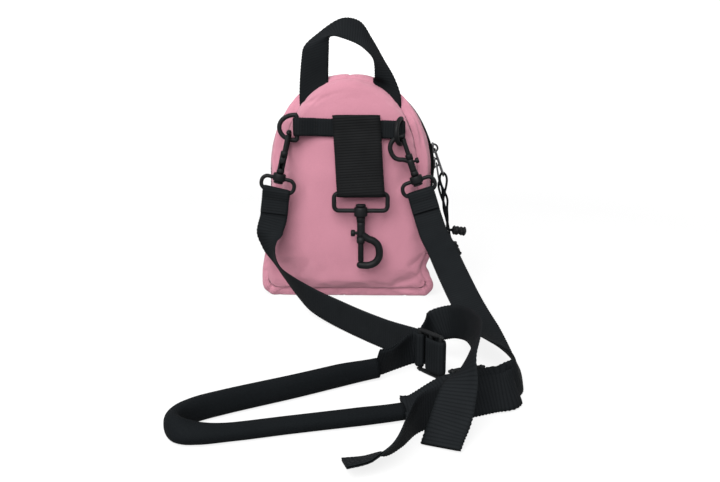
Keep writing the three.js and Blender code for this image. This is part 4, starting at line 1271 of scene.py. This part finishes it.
def through_adjuster(place, run, side=1):
    """Rows of a run through an adjuster. A side of -1 turns the webbing over."""
    off = unit(np.cross(place["up"], place["along"]))
    across = place["up"] * side
    return [(place["middle"] + place["along"] * reach + off * away, across) for reach, away in run]


# Strap
def hem_rows(place, across, down, end):
    """Hem folded round a hook's bar: from its sewn end, over the bar, to the run."""
    across, down = unit(across), unit(down)
    inward = unit(np.cross(across, down))
    r = STRAP_HOOK["bar"] / 2 + FOLD_GAP + WEBBING / 2
    run = [
        (end, -0.9), (9, -0.95), (4.5, -r + 0.9), (0, -r), (-r * 0.7, -r * 0.7), (-r, 0), (-r * 0.7, r * 0.7),
        (0, r), (4.5, r - 0.9), (9, 0.95), (26, 0.9),
    ]
    return [(place["bar"] + down * reach + inward * away, across) for reach, away in run]


# Rows of (place, width direction) along the strap, from the hems to the adjusters and on to the tails' ends
LEFT_RUN = [
    ((-77, -65, 74), (1, -0.1, 0)), ((-77, -68, 63), (0.7, -0.7, 0.1)),
    ((-72.5, -74, 51), (0.35, -0.9, 0.15)), ((-65, -82, 39.5), (0.05, -0.85, 0.5)),
    ((-51, -94, 28), (-0.1, -0.5, 0.85)), ((-33, -114, 20), (0, -0.2, 1)),
    ((-1, -148, 14.5), (0, 0, 1)), ((36, -194, 14), (0, 0, 1)),
]
LEFT_TAIL = [
    ((67, -222, 22), (0, 0, 1)), ((75, -213, 28), (0, 0.1, 1)), ((86, -217, 33), (0, 0.1, 1)),
    ((95, -236, 38.5), (0, 0, 1)), ((98.8, -262, 43), (0.1, 0, 1)), ((98.8, -284, 46), (0.25, 0, 0.97)),
    ((95.8, -303, 46.5), (0.38, 0, 0.93)), ((91, -320, 44), (0.48, 0, 0.88)),
    ((85.5, -333, 38), (0.62, 0.05, 0.78)), ((80.5, -345, 26.5), (0.87, 0, 0.47)),
    ((76, -355.5, 15), (0.97, -0.1, 0.15)), ((71.5, -363.5, 7), (0.9, -0.4, 0)),
    ((68.5, -370, 2), (0.85, -0.5, 0)),
]
RIGHT_RUN = [
    ((81.5, -82, 76), (0.95, 0, 0.32)), ((86.8, -98, 67.3), (0.95, 0, 0.32)),
    ((95.5, -132, 50.7), (0.95, 0, 0.3)), ((105.9, -168, 33), (0.95, 0, 0.2)),
    ((115, -200, 23.5), (0.95, 0, 0)), ((124, -231, 18.5), (0.85, 0, -0.5)),
    ((130.5, -252, 16), (0.6, 0, -0.8)), ((132.5, -267, 14), (0.35, 0, -0.93)),
    ((131, -279, 13.3), (0.25, -0.15, -0.95)), ((124, -287.5, 12.8), (0.2, -0.5, -0.85)),
]
RIGHT_TAIL = [
    ((120, -295, 14), (0.2, -0.5, -0.85)), ((125.5, -299.5, 14.2), (0.35, -0.2, -0.9)),
    ((121, -306.5, 13.4), (0.2, -0.4, -0.9)), ((107, -311, 12.8), (0.1, -0.5, -0.85)),
    ((82, -324.5, 12.8), (0, -0.4, -0.9)), ((57, -346, 13.8), (0, 0, -1)),
    ((46, -371, 13.4), (-0.1, 0.3, -0.9)), ((36, -389, 10.6), (-0.15, 0.8, -0.6)),
    ((24, -395, 6.2), (-0.1, 1, -0.38)), ((10, -398, 4.7), (-0.1, 1, -0.29)),
]
left_hem = hem_rows(LEFT_PLACE, (0.975, 0, -0.223), (-0.12, -0.1, -0.99), 22)
right_hem = hem_rows(RIGHT_PLACE, (0.947, 0, 0.32), (0.27, -0.4, -0.87), 19)
left_strap_rows = left_hem + LEFT_RUN + through_adjuster(LEFT_ADJUSTER, THREADED) + LEFT_TAIL
right_strap_rows = right_hem + RIGHT_RUN + through_adjuster(RIGHT_ADJUSTER, WRAP, -1) + RIGHT_TAIL
webbing_piece("strap_left", left_strap_rows, STRAP_WIDTH)
webbing_piece("strap_right", right_strap_rows, STRAP_WIDTH)


def tail_hem(rows, long):
    """Hem turned over at a strap's free end, lying on its upper face."""
    middle, across, face, far = webbing_run(rows, WEB_SPACING)
    k = int(np.searchsorted(far, far[-1] - long))
    lift = (WEBBING + 0.05) * np.sign(face[-1] @ (0, -0.3, 1))
    return webbing_shell(middle[k:], across[k:], face[k:], far[k:] - far[k], STRAP_WIDTH - 0.3, lift)


piece("left_tail_hem", tail_hem(left_strap_rows, 24), STRAP_WEB, added=True)
piece("right_tail_hem", tail_hem(right_strap_rows, 22), STRAP_WEB, added=True)
stitch_piece("strap_stitches", [
    sewn_across(left_hem, (3, 14), STRAP_WIDTH), sewn_across(right_hem, (3, 11), STRAP_WIDTH),
])

# Grip: rows of (place, direction of its taller side) from the left tab round the fold to the right tab
GRIP_RUN = [
    ((27, -257, 9.6), (0, 0.1, 1)), ((2, -270, 8.9), (0, 0.1, 1)), ((-27, -288, 8.9), (0, 0.15, 1)),
    ((-53, -304.5, 8.9), (0, 0.2, 1)), ((-77, -321, 8.8), (0, 0.2, 1)), ((-92, -333, 8.8), (0, 0.1, 1)),
    ((-100, -344, 8.8), (0, 0, 1)), ((-101.5, -356, 8.8), (0, 0, 1)), ((-95.5, -364, 8.7), (0, 0.4, 0.9)),
    ((-84, -365.5, 7.6), (0, 0.9, 0.4)), ((-62, -361, 6.5), (0, 1, 0.1)), ((-26, -350.5, 6.3), (0, 1, 0.1)),
    ((12, -338, 6.7), (0, 1, 0.15)), ((45, -328, 8), (0, 1, 0.4)),
]


def grip_shell():
    """Flattened tube along the folded grip. Its section is a squared ellipse, pressed flatter on the near
    half. Each half bows towards the other by a squared sine along it.
    """
    middle, tall, thick, far = webbing_run(GRIP_RUN, 1.5)
    share = far / far[-1]
    girth = 1 - GRIP["press"] * smooth_step((share - 0.5) / 0.15)
    girth *= 1 - GRIP["taper"] * smooth_step((np.abs(share - 0.5) - 0.4) / 0.1)
    middle[:, 1] += GRIP["near_bow"] * np.sin(np.pi * np.clip((share - 0.5) / 0.5, 0, 1)) ** 2
    middle[:, 1] -= GRIP["far_bow"] * np.sin(np.pi * np.clip(share / 0.45, 0, 1)) ** 2
    middle[:, 2] -= GRIP["thick"] / 2 * (1 - girth)
    middle[0] += GRIP["into_tab"] * unit(middle[0] - middle[1])
    middle[-1] += GRIP["into_tab"] * unit(middle[-1] - middle[-2])
    sides = 40
    turn = circle(sides)
    high, wide = (
        GRIP[size] / 2 * np.sign(wave) * np.abs(wave) ** GRIP["square"]
        for size, wave in (("tall", np.cos(turn)), ("thick", np.sin(turn)))
    )
    section_at = tall[:, None] * high[:, None] + thick[:, None] * wide[:, None]
    grid = middle[:, None] + section_at * girth[:, None, None]
    around = np.linspace(0, GRIP["around"], sides + 1)
    shell = grid_shell(grid, wrap_columns=True, uv=(np.append(far, far[-1]), around))
    return outward(capped(shell, len(far), sides))


piece("grip", grip_shell(), GRIP_CLOTH)


def tab_rows(place, end, away, lie):
    """Rows of a webbing end of the grip, turned from the grip's lie to the adjuster's, round its tab bar
    and back.
    """
    away = np.array(away)
    off = unit(np.cross(lie, away)) * GRIP_TAB["apart"]
    start = end + GRIP_TAB["start"] * away
    start[2] = max(start[2], STRAP_WIDTH / 2 * unit(lie)[2] + WEBBING)
    ahead = start + GRIP_TAB["straight"] * away
    there = [(start + off, lie), (ahead + off, lie)]
    return there + through_adjuster(place, TAB_LOOP) + [(ahead - off, lie), (start - off, lie)]


left_tab = tab_rows(LEFT_ADJUSTER, GRIP_RUN[0][0], (0.86, 0.5, 0), (0.22, -0.38, 0.9))
right_tab = tab_rows(RIGHT_ADJUSTER, GRIP_RUN[-1][0], (0.98, 0.2, 0), (-0.2, 0.95, 0.25))
webbing_piece("grip_tab_left", left_tab, STRAP_WIDTH)
webbing_piece("grip_tab_right", right_tab, STRAP_WIDTH)


# Zip sliders and their pulls: height on the right side, ends of the wire and the cord, tip of the grip, and
# how far the cord's loop stands open
PULLS = {
    "upper": {
        "height": 149, "wire": (94, -15, 125), "cord": (101, -16, 67), "tip": (119.5, -17, 65), "open": 1.0,
    },
    "lower": {
        "height": 134, "wire": (91.5, -4, 114), "cord": (104.5, -6, 55), "tip": (113, -7, 36), "open": 0.45,
    },
}
CORD = 2.3
PULL_WIRE = {"width": 5.7, "radius": 0.65}
SLIDER = {
    "thick": 2.6, "wide": 8, "tall": 12, "sunk": 1.4, "plate": 3.2, "bow": 4.2, "bow_foot": 4, "bow_out": 4.4,
    "wire": 1.0,
}
# One strand of a pull's cord: share of the way down, distance apart and depth
STRAND = [
    (0.03, 2.6, 0.2), (0.1, 3.5, 0.4), (0.22, 2.2, 1.0), (0.33, 0, 1.3), (0.47, -2.1, 0.9),
    (0.62, -1.0, 1.0), (0.82, -0.4, 1.2),
]


def zip_face(z):
    """Half width of the right side at the zip, at a height."""
    arch, base, top, bottom, corner = (float(n) for n in section(np.array(0.0)))
    if z > ARCH_FOOT:
        rise = ((z - ARCH_FOOT) / (top - ARCH_FOOT)) ** (1 / ARCH_POWER)
        return arch * np.sqrt(1 - rise ** 2) ** ARCH_POWER
    start = bottom + corner
    wall = base + (arch - base) * smooth_step((z - start) / (ARCH_FOOT - start))
    return float(wall - WAIST["depth"] * bump_at(z, WAIST["height"], WAIST["reach"]))


def pebble(middle, half, square):
    """Rounded block: a ball's sines and cosines raised to a power below 1, stretched to half sizes."""
    turn = circle(32)
    rise = np.linspace(-np.pi / 2 + 0.05, np.pi / 2 - 0.05, 19)

    def squared(values):
        """Values of a wave made squarer, with their signs kept."""
        return np.sign(values) * np.abs(values) ** square

    flat = squared(np.cos(rise))[:, None]
    x = flat * squared(np.cos(turn))
    y = flat * squared(np.sin(turn))
    z = squared(np.sin(rise))[:, None] + 0 * x
    grid = np.asarray(middle) + np.stack([x, y, z], axis=-1) * half
    return outward(capped(grid_shell(grid, wrap_columns=True), len(rise), len(turn)))


def slider_shell(height):
    """Slider's rounded plate with a bow of wire over it."""
    face = zip_face(height) + ZIP_LIFT - SLIDER["sunk"]
    half = np.array((SLIDER["thick"], SLIDER["wide"], SLIDER["tall"])) / 2
    turn = np.linspace(0, np.pi, 24)
    out, rise = SLIDER["bow_foot"] + SLIDER["bow_out"] * np.sin(turn), -SLIDER["bow"] * np.cos(turn)
    bow = np.stack([face + out, 0 * turn, height + rise], axis=1)
    plate = pebble((face + SLIDER["plate"], 0, height), half, 0.45)
    return merged([plate, tube(bow, SLIDER["wire"], FRONT)])


def long_loop(start, end, width, radius):
    """Closed loop of wire: two straight sides joined by half circles."""
    along = unit(end - start)
    normal = unit(np.cross(np.cross(RIGHT, along), along))
    side = np.cross(along, normal)
    turn = np.linspace(0, np.pi, 13)[:, None]
    far = end + (side * np.cos(turn) + along * np.sin(turn)) * width / 2
    near = start - (side * np.cos(turn) + along * np.sin(turn)) * width / 2
    path = evenly(np.vstack([far, near, far[:1]]), 91)[:-1]
    return tube(path, radius, normal, closed=True, sides=10)


def cord_path(wire_end, cord_end, mouth, gape):
    """Loop of cord hung over the wire: both strands cross once on the way down and meet inside the grip."""
    along = unit(cord_end - wire_end)
    apart = unit(np.cross(FRONT, along))
    to_grip = unit(mouth - cord_end)

    def side(sign):
        """Points of one strand, down from the wire into the grip."""
        down = [
            wire_end + (cord_end - wire_end) * share + apart * sign * spread * gape + FRONT * sign * depth
            for share, spread, depth in STRAND
        ]
        into = [cord_end - to_grip * 0.5 + FRONT * sign * 1.25, mouth + to_grip * 1.5 + FRONT * sign * 1.2]
        return down + into

    rows = [wire_end - along * 0.9] + side(1) + [mouth + to_grip * 4] + side(-1)[::-1]
    rows = np.array(rows[-3:] + rows + rows[:4])
    fine = catmull(rows, np.linspace(3, len(rows) - 4, 900))
    return evenly(fine, 181)


def tuft_shell(start, end):
    """Ridged grip of a pull: four uneven ridges round its axis, each with soft lobes."""
    long = np.linalg.norm(end - start)
    h = np.linspace(0, 1, 49)
    ridge = 3.7 + 0.9 * np.abs(np.sin(4 * np.pi * h)) ** 0.7 + 0.35 * np.sin(9 * h)
    radius = ridge * np.sqrt(np.clip(1 - np.abs(2 * h - 1) ** 6, 0.03, 1))
    direction = unit(end - start)
    side = unit(np.cross(direction, FRONT))
    turn = circle(36)
    lobes = 1 + 0.07 * np.cos(5 * turn[None] + 14 * h[:, None])
    spoke = spokes(side, np.cross(direction, side), turn)
    grid = start + direction * (h * long)[:, None, None] + spoke * (radius[:, None] * lobes)[..., None]
    return outward(capped(grid_shell(grid, wrap_columns=True), len(h), len(turn)))


for pull_name, pull in PULLS.items():
    wire_end, cord_end, tip = (np.array(pull[key], dtype=float) for key in ("wire", "cord", "tip"))
    piece("slider_" + pull_name, slider_shell(pull["height"]), NICKEL)
    bow = np.array((zip_face(pull["height"]) + ZIP_LIFT + 4.6, 0, pull["height"] - 3.0))
    wire = long_loop(bow, wire_end, PULL_WIRE["width"], PULL_WIRE["radius"])
    piece("pull_wire_" + pull_name, wire, NICKEL)
    mouth = cord_end + unit(tip - cord_end) * 3.4
    grip_piece = piece("pull_grip_" + pull_name, tuft_shell(mouth, tip), PLASTIC)
    path = cord_path(wire_end, cord_end, mouth, pull["open"])
    cord_shell = tube(path[:-1], CORD / 2, closed=True, sides=12)
    cord = piece("pull_cord_" + pull_name, cord_shell, GRIP_CLOTH)

# Webbing folded double under the zip's lower end
END_TAB = {"height": 40, "wide": 9.5}
END_TAB_RUN = [(0, -1.6), (4.5, -1.5), (6.7, -1.2), (7.5, 0), (6.7, 1.2), (4.5, 1.5), (0, 1.6)]
tab_face = zip_face(END_TAB["height"] + END_TAB["wide"] / 2) + 2 * GAP
end_tab_rows = [((tab_face + out, y, END_TAB["height"]), UP) for out, y in END_TAB_RUN]
piece("zip_end_tab", webbing(end_tab_rows, END_TAB["wide"], 0.3)[0], STRAP_WEB)

# Stage and light
FLOOR_HALF = 4000.0
floor_points = np.array([[(x, y, 0) for y in (-FLOOR_HALF, FLOOR_HALF)] for x in (-FLOOR_HALF, FLOOR_HALF)])
floor = mesh_object("floor", grid_shell(floor_points), FLOOR)
world = bpy.data.worlds.new("studio")
world.use_nodes = True
world.node_tree.nodes["Background"].inputs["Color"].default_value = (1, 1, 1, 1)
world.node_tree.nodes["Background"].inputs["Strength"].default_value = 1.25
scene.world = world
scene.view_settings.view_transform = "Standard"


def soft_box(name, place, aim, size, power):
    """Square area light at a place, turned to face a point, in millimetres."""
    light = bpy.data.lights.new(name, "AREA")
    light.size = size * MM
    light.energy = power
    obj = bpy.data.objects.new(name, light)
    obj.location = np.array(place) * MM
    obj.rotation_mode = "QUATERNION"
    obj.rotation_quaternion = Vector(np.subtract(aim, place)).to_track_quat("-Z", "Y")
    scene.collection.objects.link(obj)


soft_box("key", place=(-350, -1250, 1150), aim=(0, -50, 150), size=1400, power=95)
